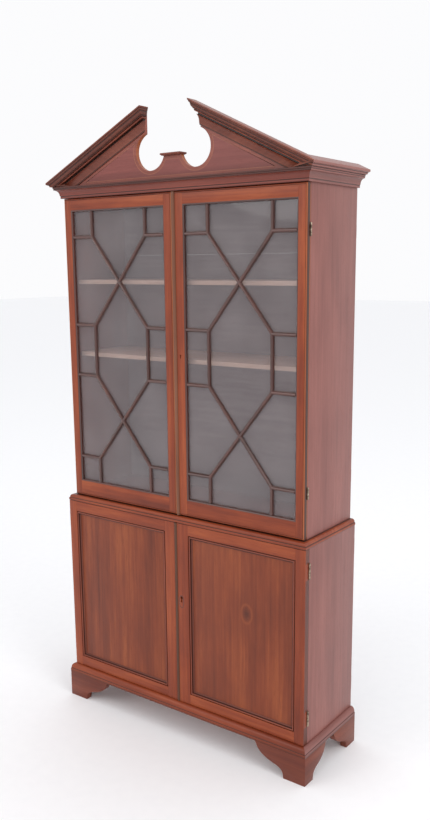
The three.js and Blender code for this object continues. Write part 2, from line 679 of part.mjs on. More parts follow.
const upperFrameProfile = [
  [0, UPPER_DOOR_FRONT],
  ...quarter(
    [0.2, UPPER_DOOR_FRONT - 0.3],
    [SIGHT_OVOLO, UPPER_DOOR_FRONT - 2.6],
    [1.9, UPPER_DOOR_FRONT - 0.5],
  ),
  [SIGHT_OVOLO, GLASS_DEPTHS[1] + GLUE],
  [-GLASS_REBATE, GLASS_DEPTHS[1] + GLUE],
  [-GLASS_REBATE, UPPER_DOOR_BACK],
];
for (const side of SIDES) {
  const clearX = openingX(side, UPPER_INNER_SIGHT, UPPER_SIGHT_X);
  const opening = { x: grown(clearX, SIGHT_OVOLO), z: grown(UPPER_SIGHT_Z, SIGHT_OVOLO) };
  const leaf = leafRange(side, UPPER_MEETING_X, CASE_HALF);
  const depths = [UPPER_DOOR_BACK, UPPER_DOOR_FRONT];
  const frame = mitredFrame(leaf, UPPER_DOOR_Z, opening, depths, upperFrameProfile);
  const cutters = [...pocketsOf('upper', side), ...lockCuts(upperLock, side)];
  add(`upper_${side}_door_frame`, cut(frame, cutters), 'front');
  add(`upper_${side}_glazing_bars`, glazingLattice(side, clearX), 'moulding');
  const glass = board(grown(opening.x, GLASS_LAP), GLASS_DEPTHS, grown(opening.z, GLASS_LAP));
  add(`upper_${side}_glass`, glass, 'glass');
}
add('upper_right_meeting_bead',
  meetingBead(UPPER_MEETING_X, UPPER_BEAD, UPPER_DOOR_FRONT, UPPER_DOOR_Z), 'moulding');

/** Inner edge of a panelled frame: a quirk, a bead, and a hollow down to the panel. */
const baseFrameProfile = [
  [0, BASE_DOOR_FRONT],
  [0.3, BASE_DOOR_FRONT - 1.3],
  [0.9, BASE_DOOR_FRONT - 1.3],
  [1.3, BASE_DOOR_FRONT - 0.2],
  [2.1, BASE_DOOR_FRONT + 0.3],
  [2.9, BASE_DOOR_FRONT - 0.2],
  ...quarter([3.2, BASE_DOOR_FRONT - 0.9], [5.8, PANEL_DEPTHS[1] + 0.6], [4, PANEL_DEPTHS[1] + 0.9], 2),
  [5.8, PANEL_DEPTHS[1] + GLUE],
  [-PANEL_REBATE, PANEL_DEPTHS[1] + GLUE],
  [-PANEL_REBATE, BASE_DOOR_BACK],
];
for (const side of SIDES) {
  const opening = { x: openingX(side, BASE_INNER_SIGHT, BASE_SIGHT_X), z: BASE_SIGHT_Z };
  const leaf = leafRange(side, BASE_MEETING_X, BASE_HALF);
  const depths = [BASE_DOOR_BACK, BASE_DOOR_FRONT];
  const frame = mitredFrame(leaf, BASE_DOOR_Z, opening, depths, baseFrameProfile);
  const cutters = [...pocketsOf('lower', side), ...lockCuts(baseLock, side)];
  add(`lower_${side}_door_frame`, cut(frame, cutters), 'front');
  const panel = board(grown(opening.x, PANEL_LAP), PANEL_DEPTHS, grown(opening.z, PANEL_LAP));
  add(`lower_${side}_panel`, panel, 'panel');
}
add('lower_right_meeting_bead',
  meetingBead(BASE_MEETING_X, BASE_BEAD, BASE_DOOR_FRONT, BASE_DOOR_Z), 'moulding');

export default bookcase;
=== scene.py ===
"""The looks of a miniature glazed bookcase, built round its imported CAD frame."""
import json
import math

import bmesh
import bpy
from mathutils import Matrix, Vector


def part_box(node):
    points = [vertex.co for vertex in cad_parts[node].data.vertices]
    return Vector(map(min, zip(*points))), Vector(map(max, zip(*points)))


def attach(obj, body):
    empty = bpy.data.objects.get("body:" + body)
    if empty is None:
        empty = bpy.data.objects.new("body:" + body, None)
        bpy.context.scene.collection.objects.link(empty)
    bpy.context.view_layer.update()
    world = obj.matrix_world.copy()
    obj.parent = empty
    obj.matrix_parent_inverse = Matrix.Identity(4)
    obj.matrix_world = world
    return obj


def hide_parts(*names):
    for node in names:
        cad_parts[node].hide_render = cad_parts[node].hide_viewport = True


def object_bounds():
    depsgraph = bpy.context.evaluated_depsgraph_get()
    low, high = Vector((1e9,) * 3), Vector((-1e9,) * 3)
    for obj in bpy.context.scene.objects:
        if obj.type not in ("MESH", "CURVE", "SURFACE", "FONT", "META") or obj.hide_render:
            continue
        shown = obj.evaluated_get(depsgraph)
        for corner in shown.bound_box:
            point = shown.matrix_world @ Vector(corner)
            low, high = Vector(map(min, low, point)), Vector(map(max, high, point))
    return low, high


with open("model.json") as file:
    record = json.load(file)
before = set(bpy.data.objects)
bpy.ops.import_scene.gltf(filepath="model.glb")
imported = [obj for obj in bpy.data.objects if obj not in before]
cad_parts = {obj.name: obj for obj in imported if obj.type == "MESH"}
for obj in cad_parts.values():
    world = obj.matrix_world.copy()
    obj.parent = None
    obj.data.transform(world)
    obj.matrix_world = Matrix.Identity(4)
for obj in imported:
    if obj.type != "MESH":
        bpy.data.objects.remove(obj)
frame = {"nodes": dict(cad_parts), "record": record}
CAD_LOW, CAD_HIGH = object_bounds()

MM = 0.001
BACK_Y = CAD_HIGH.y / MM  # the back plane; depths are measured forward from it
GLUE = 0.1
CLEAR = 0.3
SIDES = ("left", "right")
BODY_OF = {n: b for b, ns in frame["record"]["behaviour"]["bodies"].items() for n in ns}

# ---- measures the boxes of the CAD nodes don't give, in millimetres -------------------------------

GLASS_LAP = 1.2  # glass runs this far behind its frame
GLASS_REBATE = 1.5
SIGHT_OVOLO = 2.2
PANEL_LAP = 3.7
PANEL_REBATE = 4.0
PANEL_MOULDING = 5.8
BAR_X = (54.0, 154.5)
BAR_Z = (399.0, 524.5, 599.0, 725.5)
BAR_HALF = 2.75
BAR_HEIGHT = 3.9
COCK_BEAD = 2.4  # width of the bead round the outside of a glazed door
CASE_HALF = 206.0
PLINTH_HALF = 220.5
RAKE = 0.4755  # rise of the raking mouldings per unit of width
RAKE_DROP = 27.5
RAKE_END = 47.0
RAKE_TIP = 40.0
PROJECTION = 18.0
CROWN_EDGE_Z = 802.5
SCOOP_RADIUS = 24.75
SCOOP_CENTRE = (38.3, 833.6)
PEDESTAL_TOP = 826.0
BRACKET = 10.0
FRONT_FOOT = {"across": (80.0, 34.0), "along": (56.0, 21.0)}
REAR_FOOT = {"across": (44.0, 21.0), "along": (62.0, 24.0)}
LEAF_T = 0.7
SCREW_RADIUS = 1.15
SCREW_INSET = 2.3  # from the inner edge of a leaf
LOCK_ZONE = 18.0  # half the height of the length of stile that is cut for a lock
BEAD_REAR = 1.4  # the cock bead starts this far in front of the door's back, before the hinge barrels
KNOT = (119.4, 217.5)  # place of the knot in the right-hand panel
TYMPANUM_LAP = 4.0  # how far the pediment board runs up behind the raking mouldings
KEYHOLES = {"upper": (1.25, 1.6), "lower": (2.2, 3.4)}  # radius of the round, and its height over the bolt
ESCUTCHEON = {"x": 8.6, "z": 210.5, "half_width": 4.2, "half_height": 9.2}
STRING_INSET = 4.5  # fillet line inside the outline of the pediment board
STRING_HALF = 0.32


def sign(side):
    return 1 if side == "right" else -1


def span(node):
    """The X, depth and Z ranges of a CAD node, in millimetres."""
    lo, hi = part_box(node)
    return {
        "x": (lo.x / MM, hi.x / MM),
        "d": (BACK_Y - hi.y / MM, BACK_Y - lo.y / MM),
        "z": (lo.z / MM, hi.z / MM),
    }


def at(x, depth, z):
    return Vector((x, BACK_Y - depth, z))


def grown(pair, by):
    return (pair[0] - by, pair[1] + by)


# ---- materials ------------------------------------------------------------------------------------


class Nodes:
    """Short calls for building one material's node tree."""

    def __init__(self, name):
        self.material = bpy.data.materials.new(name)
        self.material.use_nodes = True
        self.tree = self.material.node_tree
        self.shader = self.tree.nodes["Principled BSDF"]

    def new(self, kind, **settings):
        node = self.tree.nodes.new(kind)
        for key, value in settings.items():
            setattr(node, key, value)
        return node

    def link(self, a, b):
        self.tree.links.new(a, b)

    def put(self, socket, value):
        if isinstance(value, bpy.types.NodeSocket):
            self.link(value, socket)
        else:
            socket.default_value = value

    def math(self, operation, a, b=0.0, clamp=False):
        node = self.new("ShaderNodeMath", operation=operation, use_clamp=clamp)
        self.put(node.inputs[0], a)
        self.put(node.inputs[1], b)
        return node.outputs[0]

    def vector(self, operation, a, b):
        node = self.new("ShaderNodeVectorMath", operation=operation)
        self.put(node.inputs[0], a)
        self.put(node.inputs[1], b)
        return node.outputs[0]

    def noise(self, vector, scale, detail=3.0, roughness=0.5):
        node = self.new("ShaderNodeTexNoise")
        self.put(node.inputs["Vector"], vector)
        node.inputs["Scale"].default_value = scale
        node.inputs["Detail"].default_value = detail
        node.inputs["Roughness"].default_value = roughness
        return node.outputs["Fac"]

    def ramp(self, factor, *stops):
        node = self.new("ShaderNodeValToRGB")
        self.put(node.inputs[0], factor)
        band = node.color_ramp
        while len(band.elements) < len(stops):
            band.elements.new(0.5)
        for element, (place, colour) in zip(band.elements, stops):
            element.position = place
            element.color = (*colour, 1.0) if len(colour) == 3 else colour
        return node.outputs[0]

    def mix(self, factor, a, b, blend="MIX"):
        node = self.new("ShaderNodeMix", data_type="RGBA", blend_type=blend)
        self.put(node.inputs[0], factor)
        for socket, value in ((node.inputs[6], a), (node.inputs[7], b)):
            self.put(socket, (*value, 1.0) if isinstance(value, tuple) else value)
        return node.outputs[2]

    def bump(self, height, strength, distance):
        node = self.new("ShaderNodeBump")
        self.put(node.inputs["Height"], height)
        node.inputs["Strength"].default_value = strength
        node.inputs["Distance"].default_value = distance
        self.link(node.outputs["Normal"], self.shader.inputs["Normal"])


TONES = {  # dark, middle and light of the figure
    "front": ((0.140, 0.022, 0.007), (0.232, 0.040, 0.011), (0.335, 0.072, 0.020)),
    # edge: lighter than front, a painted glint; used on the upright cock beads and the scoop rims of the
    # pediment board.
    "edge": ((0.240, 0.055, 0.018), (0.340, 0.090, 0.030), (0.440, 0.140, 0.052)),
    "panel": ((0.118, 0.022, 0.008), (0.196, 0.038, 0.012), (0.285, 0.068, 0.020)),
    # side: paler and pinker than front, a painted sheen of the light on the sides; the inner boards share it.
    "side": ((0.180, 0.064, 0.054), (0.234, 0.087, 0.073), (0.288, 0.112, 0.094)),
    "foot": ((0.108, 0.021, 0.011), (0.162, 0.034, 0.016), (0.225, 0.054, 0.026)),
    "cornice": ((0.150, 0.034, 0.022), (0.228, 0.051, 0.034), (0.315, 0.078, 0.050)),
    "rake": ((0.140, 0.031, 0.017), (0.205, 0.049, 0.027), (0.280, 0.074, 0.039)),
    "inlay": ((0.155, 0.038, 0.031), (0.205, 0.052, 0.043), (0.258, 0.070, 0.057)),
    "border": ((0.180, 0.044, 0.030), (0.235, 0.062, 0.042), (0.295, 0.086, 0.058)),
    "string": ((0.270, 0.085, 0.048), (0.330, 0.115, 0.066), (0.390, 0.150, 0.088)),
    "bar": ((0.038, 0.010, 0.006), (0.064, 0.016, 0.010), (0.100, 0.026, 0.016)),
    "upper_strip": ((0.130, 0.046, 0.022), (0.175, 0.066, 0.034), (0.230, 0.095, 0.052)),
    "lower_strip": ((0.064, 0.024, 0.011), (0.090, 0.033, 0.016), (0.125, 0.047, 0.024)),
    "shelf": ((0.540, 0.345, 0.265), (0.650, 0.430, 0.340), (0.740, 0.520, 0.420)),
    "back": ((0.160, 0.112, 0.112), (0.215, 0.157, 0.158), (0.270, 0.205, 0.205)),
}
# Near-black brown: the core of a knot, and the colour that old polish and painted shade darken towards.
OLD_POLISH_SHADE_AND_KNOT = (0.020, 0.007, 0.005)
_woods = {}


def wood(tone, grain="Z", seed=0, knot=None, polish=True):
    """Polished mahogany. grain is the axis that the fibres follow, or a slope in the XZ plane.
    knot is the place of a knot, in millimetres: (x, z)."""
    key = (tone, grain, seed, knot)
    if key in _woods:
        return _woods[key]
    label = grain if isinstance(grain, str) else f"rake{'L' if grain > 0 else 'R'}"
    n = Nodes(f"{tone}_{label}_{seed}")
    place = n.new("ShaderNodeTexCoord").outputs["Object"]
    if not isinstance(grain, str):
        turn = n.new("ShaderNodeMapping")
        turn.inputs["Rotation"].default_value = (0, math.atan(grain), 0)
        n.link(place, turn.inputs["Vector"])
        place = turn.outputs["Vector"]
    parts = n.new("ShaderNodeSeparateXYZ")
    n.link(place, parts.inputs[0])
    along = {"Z": 2, "Y": 1}.get(grain, 0)
    across = [i for i in range(3) if i != along]

    ring = None
    if knot:
        raw = n.new("ShaderNodeSeparateXYZ")
        n.link(n.new("ShaderNodeTexCoord").outputs["Object"], raw.inputs[0])
        dx = n.math("MULTIPLY", n.math("SUBTRACT", raw.outputs[0], knot[0] * MM), 1.5)
        dz = n.math("SUBTRACT", raw.outputs[2], knot[1] * MM)
        squared = n.math("ADD", n.math("MULTIPLY", dx, dx), n.math("MULTIPLY", dz, dz))
        ring = n.math("SQRT", squared)

    def stretched(scale_across, scale_along):
        node = n.new("ShaderNodeCombineXYZ")
        sideways = parts.outputs[across[0]]
        if ring is not None:  # the fibres part round the knot
            near = n.math("DIVIDE", 0.00006, n.math("ADD", n.math("MULTIPLY", ring, ring), 0.00008))
            sideways = n.math("ADD", sideways, n.math("MULTIPLY", near, 0.010))
        n.put(node.inputs[0], n.math("MULTIPLY", sideways, scale_across))
        n.put(node.inputs[1], n.math("MULTIPLY", parts.outputs[across[1]], scale_across))
        n.put(node.inputs[2], n.math("MULTIPLY", parts.outputs[along], scale_along))
        return n.vector("ADD", node.outputs[0], (3.17 * seed + 0.4, 1.31 * seed, 7.9 * seed))

    wander = n.noise(stretched(9.0, 3.0), 1.0, 2.0)
    bent = n.vector("ADD", stretched(230.0, 6.0), n.vector("MULTIPLY", wander, (3.0, 3.0, 0.0)))
    streak = n.noise(bent, 1.0, 5.0, 0.58)
    broad = n.noise(stretched(26.0, 7.0), 1.0, 3.0, 0.55)
    ribbon = n.noise(stretched(42.0, 1.6), 1.0, 2.0)
    pores = n.noise(stretched(1500.0, 55.0), 1.0, 2.0, 0.6)

    figure = n.math("MULTIPLY", streak, 0.34)
    figure = n.math("ADD", figure, n.math("MULTIPLY", broad, 0.42))
    figure = n.math("ADD", figure, n.math("MULTIPLY", ribbon, 0.24))
    dark, middle, light = TONES[tone]
    colour = n.ramp(figure, (0.36, dark), (0.50, middle), (0.64, light))
    fleck = n.ramp(pores, (0.34, (1, 1, 1)), (0.42, (0, 0, 0)))
    colour = n.mix(n.math("MULTIPLY", fleck, 0.45), colour, dark)
    if ring is not None:
        wave = n.math("SINE", n.math("MULTIPLY", ring, 2600.0))
        rings = n.math("MULTIPLY", n.math("ADD", wave, 1.0), 0.30)
        core = n.ramp(n.math("MULTIPLY", ring, 60.0), (0.12, (1, 1, 1)), (0.70, (0, 0, 0)))
        colour = n.mix(n.math("MULTIPLY", core, n.math("ADD", rings, 0.38)), colour, OLD_POLISH_SHADE_AND_KNOT)
        halo = n.ramp(n.math("MULTIPLY", ring, 15.0), (0.05, (1, 1, 1)), (0.75, (0, 0, 0)))
        colour = n.mix(n.math("MULTIPLY", halo, 0.30), colour, dark)
        pale = n.ramp(n.math("MULTIPLY", ring, 60.0), (0.62, (0, 0, 0)), (0.80, (1, 1, 1)), (1.0, (0, 0, 0)))
        colour = n.mix(n.math("MULTIPLY", pale, 0.45), colour, light)
    # The age attribute darkens the colour towards near black: old polish gathered in hollows, and painted shade
    # in hollows, quirks and gaps.
    age = n.new("ShaderNodeAttribute", attribute_name="age").outputs["Fac"]
    colour = n.mix(n.math("MULTIPLY", age, 0.93, clamp=True), colour, OLD_POLISH_SHADE_AND_KNOT)
    n.link(colour, n.shader.inputs["Base Color"])

    base = 0.30 if polish else 0.58
    uneven = n.math("ADD", n.math("MULTIPLY", broad, 0.20), n.math("MULTIPLY", fleck, 0.12))
    n.link(n.math("ADD", uneven, base), n.shader.inputs["Roughness"])
    n.shader.inputs["Specular IOR Level"].default_value = 0.30
    if polish:
        n.shader.inputs["Coat Weight"].default_value = 1.0 if tone == "bar" else 0.10
        n.shader.inputs["Coat Roughness"].default_value = 0.08 if tone == "bar" else 0.16
    height = n.math("SUBTRACT", n.math("MULTIPLY", streak, 0.5), n.math("MULTIPLY", fleck, 0.6))
    n.bump(height, 0.22, 0.00025)
    _woods[key] = n.material
    return n.material


def metal(name, colour, tarnish, roughness):
    n = Nodes(name)
    place = n.new("ShaderNodeTexCoord").outputs["Object"]
    patches = n.noise(place, 260.0, 4.0, 0.65)
    scratches = n.noise(n.vector("MULTIPLY", place, (900.0, 900.0, 60.0)), 1.0, 2.0)
    n.link(n.ramp(patches, (0.38, tarnish), (0.62, colour)), n.shader.inputs["Base Color"])
    n.shader.inputs["Metallic"].default_value = 1.0
    worn = n.math("ADD", n.math("MULTIPLY", patches, -0.22), roughness + 0.22)
    n.link(n.math("ADD", worn, n.math("MULTIPLY", scratches, 0.10)), n.shader.inputs["Roughness"])
    n.bump(n.math("ADD", patches, n.math("MULTIPLY", scratches, 0.4)), 0.12, 0.0001)
    return n.material


def old_glass():
    n = Nodes("old_glass")
    place = n.new("ShaderNodeTexCoord").outputs["Object"]
    waves = n.noise(n.vector("MULTIPLY", place, (9.0, 1.0, 5.0)), 1.0, 1.0)
    specks = n.noise(place, 420.0, 2.0)
    film_and_veil = n.noise(place, 16.0, 3.0)
    # The grey base colour, uneven over the pane, is a painted reflection: a grey veil over what lies behind the
    # glass; the same noise varies the roughness.
    colour = n.ramp(film_and_veil, (0.35, (0.270, 0.242, 0.252)), (0.65, (0.345, 0.312, 0.322)))
    dust = n.ramp(specks, (0.70, (0, 0, 0)), (0.76, (1, 1, 1)))
    n.link(n.mix(n.math("MULTIPLY", dust, 0.12), colour, (0.62, 0.61, 0.60)), n.shader.inputs["Base Color"])
    n.link(n.math("ADD", n.math("MULTIPLY", film_and_veil, 0.05), 0.03), n.shader.inputs["Roughness"])
    n.shader.inputs["Alpha"].default_value = 0.24
    n.shader.inputs["Coat Weight"].default_value = 1.0
    n.shader.inputs["Coat Roughness"].default_value = 0.03
    n.bump(waves, 0.10, 0.002)
    return n.material


BRASS = metal("aged_brass", (0.520, 0.410, 0.310), (0.150, 0.105, 0.075), 0.32)
STEEL = metal("lock_steel", (0.420, 0.410, 0.400), (0.170, 0.140, 0.120), 0.36)
GLASS = old_glass()

# ---- meshes ---------------------------------------------------------------------------------------

SHARP_TURN = math.radians(24)


def eased(corners, radius=0.5, polish_and_shade_reach=1.5):
    """A section as (u, v, darkening): each sharp corner rounded, and darkening 1 in the hollows, which is old
    polish and painted shade there. A corner may have a darkening of its own as a third number."""
    area = sum(a[0] * b[1] - b[0] * a[1] for a, b in zip(corners, corners[1:] + corners[:1]))
    ordered = corners if area > 0 else corners[::-1]
    points = [Vector(p[:2]) for p in ordered]
    section = []
    for i, p in enumerate(points):
        back, ahead = p - points[i - 1], points[(i + 1) % len(points)] - p
        turn = math.atan2(back.cross(ahead), back.dot(ahead))
        own = ordered[i][2] if len(ordered[i]) > 2 else 0.0
        if abs(turn) < SHARP_TURN:
            # a shallow hollow gets a little painted shade
            section.append((p.x, p.y, max(own, 0.25 if turn < -0.04 else 0.0)))
            continue
        r = min(radius, back.length * 0.4, ahead.length * 0.4)
        hollow = turn < 0
        before, after = min(polish_and_shade_reach, back.length * 0.45), min(polish_and_shade_reach, ahead.length * 0.45)
        start, end = p - back.normalized() * r, p + ahead.normalized() * r
        if hollow and before > r * 1.2:
            section.append((*(p - back.normalized() * before), own))
        for t in (0.0, 0.35, 0.65, 1.0):
            q = start * (1 - t) ** 2 + p * 2 * t * (1 - t) + end * t * t
            section.append((q.x, q.y, 1.0 if hollow else own))
        if hollow and after > r * 1.2:
            section.append((*(p + ahead.normalized() * after), own))
    return section


def curve(start, end, via, steps=8):
    """Corners along a curve from start to end that bulges towards via."""
    a, b, c = Vector(start), Vector(via), Vector(end)
    places = [i / steps for i in range(steps + 1)]
    return [tuple(a * (1 - t) ** 2 + b * 2 * t * (1 - t) + c * t * t) for t in places]


class Shells:
    """Closed shells gathered into one mesh, each with a material."""

    def __init__(self):
        self.points, self.ages, self.faces, self.slots, self.materials = [], [], [], [], []

    def slot(self, material):
        if material not in self.materials:
            self.materials.append(material)
        return self.materials.index(material)

    def loft(self, sections, material, ages=None, ring=False):
        count, base, slot = len(sections[0]), len(self.points), self.slot(material)
        for section in sections:
            self.points.extend(section)
            self.ages.extend(ages or [0.0] * count)
        spans = len(sections) if ring else len(sections) - 1
        faces = []
        for s in range(spans):
            a, b = base + s * count, base + ((s + 1) % len(sections)) * count
            for i in range(count):
                j = (i + 1) % count
                faces.append((a + i, a + j, b + j, b + i))
        if not ring:
            last = base + (len(sections) - 1) * count
            faces.append(tuple(range(base, base + count))[::-1])
            faces.append(tuple(range(last, last + count)))
        self.faces.extend(faces)
        self.slots.extend([slot] * len(faces))

    def sweep(self, section, material, *ends):
        """A section from eased() carried from end to end; an end maps (u, v) to a point."""
        places = [[end(u, v) for u, v, _ in section] for end in ends]
        self.loft(places, material, [age for _, _, age in section])

    def block(self, x, d, z, material, along="x", radius=0.5):
        """A board with eased long edges, its fibres along x, d (depth) or z."""
        if along == "x":
            section = eased([(d[0], z[0]), (d[1], z[0]), (d[1], z[1]), (d[0], z[1])], radius)
            self.sweep(section, material, *[lambda u, v, e=e: at(e, u, v) for e in x])
        elif along == "z":
            section = eased([(x[0], d[0]), (x[1], d[0]), (x[1], d[1]), (x[0], d[1])], radius)
            self.sweep(section, material, *[lambda u, v, e=e: at(u, v, e) for e in z])
        else:
            section = eased([(x[0], z[0]), (x[1], z[0]), (x[1], z[1]), (x[0], z[1])], radius)
            self.sweep(section, material, *[lambda u, v, e=e: at(u, e, v) for e in d])

    def rod(self, x, depth, z, radius, material, sides=24, rim=0.12):
        """An upright round bar with a softened rim."""
        rings = []
        turn = [2 * math.pi * i / sides for i in range(sides)]
        levels = ((z[0], radius - rim), (z[0] + rim, radius), (z[1] - rim, radius), (z[1], radius - rim))
        for height, r in levels:
            rings.append([at(x + r * math.cos(t), depth + r * math.sin(t), height) for t in turn])
        self.loft(rings, material)

    def line(self, path, depths, half, material):
        """A narrow strip along a closed path of (x, z) places."""
        sections = []
        for i, (x, z) in enumerate(path):
            (xa, za), (xb, zb) = path[i - 1], path[(i + 1) % len(path)]
            length = math.hypot(xb - xa, zb - za)
            nx, nz = (zb - za) / length * half, (xa - xb) / length * half
            d0, d1 = depths
            sides = ((1, d0), (1, d1), (-1, d1), (-1, d0))
            sections.append([at(x + k * nx, d, z + k * nz) for k, d in sides])
        self.loft(sections, material, ring=True)

    def mesh(self, name):
        mesh = bpy.data.meshes.new(name)
        mesh.from_pydata([p * MM for p in self.points], [], self.faces)
        for material in self.materials:
            mesh.materials.append(material)
        mesh.polygons.foreach_set("material_index", self.slots)
        # Per-point darkening read by the wood materials: old polish and painted shade.
        attribute = mesh.attributes.new("age", "FLOAT", "POINT")
        attribute.data.foreach_set("value", self.ages)
        return mesh

    def absorb(self, mesh, material):
        """Takes in a finished mesh, such as one that has been cut."""
        base, slot = len(self.points), self.slot(material)
        self.points.extend(v.co / MM for v in mesh.vertices)
        self.ages.extend([0.0] * len(mesh.vertices))
        for polygon in mesh.polygons:
            self.faces.append(tuple(base + v for v in polygon.vertices))
            self.slots.append(slot)


def make(name, shells, node, bevel=0.0, smooth=34):
    """A shown piece that stands for a CAD node and moves with it."""
    mesh = shells.mesh(name)
    bm = bmesh.new()
    bm.from_mesh(mesh)
    bmesh.ops.recalc_face_normals(bm, faces=bm.faces)
    if bevel:
        sharp = [e for e in bm.edges if len(e.link_faces) == 2 and e.calc_face_angle() > math.radians(40)]
        bmesh.ops.bevel(
            bm, geom=sharp, offset=bevel * MM, segments=2, profile=0.6, affect="EDGES", clamp_overlap=True
        )
    bm.to_mesh(mesh)
    bm.free()
    for polygon in mesh.polygons:
        polygon.use_smooth = True
    mesh.set_sharp_from_angle(angle=math.radians(smooth))
    piece = bpy.data.objects.new(name, mesh)
    bpy.context.scene.collection.objects.link(piece)
    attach(piece, BODY_OF[node])
    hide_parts(node)
    return piece


def cut(shells, cutters, name):
    """The mesh of some shells with other shells taken away."""
    target = bpy.data.objects.new(name, shells.mesh(name))
    bpy.context.scene.collection.objects.link(target)
    used = [target]
    for i, cutter in enumerate(cutters):
        tool = bpy.data.objects.new(f"{name}_cutter_{i}", cutter.mesh(f"{name}_cutter_{i}"))
        bpy.context.scene.collection.objects.link(tool)
        used.append(tool)
    for piece in used:
        bm = bmesh.new()
        bm.from_mesh(piece.data)
        bmesh.ops.recalc_face_normals(bm, faces=bm.faces)
        bm.to_mesh(piece.data)
        bm.free()
    for tool in used[1:]:
        modifier = target.modifiers.new("cut", "BOOLEAN")
        modifier.operation, modifier.solver, modifier.object = "DIFFERENCE", "EXACT", tool
    evaluated = target.evaluated_get(bpy.context.evaluated_depsgraph_get())
    result = bpy.data.meshes.new_from_object(evaluated)
    for piece in used:
        bpy.data.objects.remove(piece)
    return result


# ---- hinges ---------------------------------------------------------------------------------------


def hinge_places(level, side):
    """Axis, radius and height range of each hinge on one side of one level, from the case leaf's box."""
    places = []
    for end in ("bottom", "top"):
        box = span(f"{level}_{side}_{end}_hinge_case_leaf")
        radius = (box["d"][1] - box["d"][0]) / 2
        outer = box["x"][1] if side == "right" else box["x"][0]
        inner = box["x"][0] if side == "right" else box["x"][1]
        places.append({
            "end": end,
            "radius": radius,
            "x": outer - sign(side) * radius,
            "inner": inner,
            "d": sum(box["d"]) / 2,
            "z": box["z"],
        })
    return places


def hinge_leaf(level, side, place, kind):
    """One leaf of a five-knuckle butt: the plate, its tongues and knuckles, and three countersunk screws."""
    s, radius, d = sign(side), place["radius"], place["d"]
    low, high = place["z"]
    step = (high - low) / 5
    own = (0, 2, 4) if kind == "case" else (1, 3)
    if kind == "case":
        faces = (d - CLEAR / 2 - LEAF_T, d - CLEAR / 2)
    else:
        faces = (d + CLEAR / 2, d + CLEAR / 2 + LEAF_T)
    shells = Shells()
    edge = place["x"] - s * (radius + 0.2)
    shells.block(sorted((place["inner"], edge)), faces, (low, high), BRASS, "z", 0.12)
    for i in own:
        z = (low + i * step + 0.05, low + (i + 1) * step - 0.05)
        shells.block(sorted((edge, place["x"])), faces, z, BRASS, "z", 0.05)
        shells.rod(place["x"], d, z, radius, BRASS)
    head = place["inner"] + s * SCREW_INSET
    out = faces[1] if kind == "case" else faces[0]
    push = 0.06 if kind == "case" else -0.06
    for i in range(3):
        z = low + (high - low) * (0.18 + 0.32 * i)
        turn = [2 * math.pi * t / 20 for t in range(20)]
        rings = [
            [at(head + r * math.cos(t), depth, z + r * math.sin(t)) for t in turn]
            for r, depth in (
                (SCREW_RADIUS, out - push),
                (SCREW_RADIUS, out + push * 0.4),
                (SCREW_RADIUS - 0.2, out + push),
            )
        ]
        shells.loft(rings, STEEL)
    name = f"{level}_{side}_{place['end']}_hinge_{kind}_leaf"
    make(f"{name}_fine", shells, name)


for level in ("upper", "lower"):
    for side in SIDES:
        for place in hinge_places(level, side):
            hinge_leaf(level, side, place, "case")
            hinge_leaf(level, side, place, "door")

# ---- upright boards with hinge notches ------------------------------------------------------------


def segments(z, places, air=0.15):
    """The height ranges of an upright, told apart by whether a hinge is let in there."""
    cuts, low = [], z[0]
    for place in sorted(places, key=lambda p: p["z"][0]):
        start, end = grown(place["z"], air)
        cuts += [((low, start), None), ((start, end), place)]
        low = end
    return cuts + [((low, z[1]), None)]


def notched(outer, inner, back, front, place, at_front):
    """The corners of an upright's section, with the place of a hinge leaf and barrel cut out."""
    s = 1 if outer > inner else -1
    reach = LEAF_T + CLEAR / 2 + 0.1
    leaf_x = place["inner"] - s * 0.15
    barrel_x = place["x"] - s * (place["radius"] + CLEAR)
    if at_front:
        leaf_d, barrel_d = place["d"] - reach, place["d"] - place["radius"] - CLEAR
        return [(outer, back), (outer, barrel_d), (barrel_x, barrel_d), (barrel_x, leaf_d),
                (leaf_x, leaf_d), (leaf_x, front), (inner, front), (inner, back)]
    leaf_d, barrel_d = place["d"] + reach, place["d"] + place["radius"] + CLEAR
    return [(outer, front), (outer, barrel_d), (barrel_x, barrel_d), (barrel_x, leaf_d),
            (leaf_x, leaf_d), (leaf_x, back), (inner, back), (inner, front)]


def side_board(node, level, side, seed):
    box, s = span(node), sign(side)
    outer, inner = (box["x"][1], box["x"][0]) if s > 0 else (box["x"][0], box["x"][1])
    back, front = box["d"]
    # The side tone is paler than the front: painted sheen.
    shells, material = Shells(), wood("side", "Z", seed)
    for z, place in segments(box["z"], hinge_places(level, side)):
        if place:
            section = eased(notched(outer, inner, back, front, place, True), 0.08, 0.0)
        else:
            section = eased([(outer, back), (outer, front), (inner, front), (inner, back)], 0.5)
        shells.sweep(section, material, *[lambda u, v, e=e: at(u, v, e) for e in z])
    make(f"{node}_fine", shells, node)


for i, side in enumerate(SIDES):
    side_board(f"base_{side}_side", "lower", side, 2 + i)
    side_board(f"case_{side}_side", "upper", side, 4 + i)

# ---- doors ----------------------------------------------------------------------------------------


def keyhole(x, z, depths, size):
    """A cutter: a round with a flared slot under it."""
    outline = [(x + size * math.cos(t), z + size * math.sin(t))
               for t in [math.radians(a) for a in range(-60, 241, 20)]]
    outline += [(x - size * 0.55, z - size * 3.2), (x + size * 0.55, z - size * 3.2)]
    tool = Shells()
    tool.loft([[at(u, d, v) for u, v in outline] for d in depths], STEEL)
    return tool


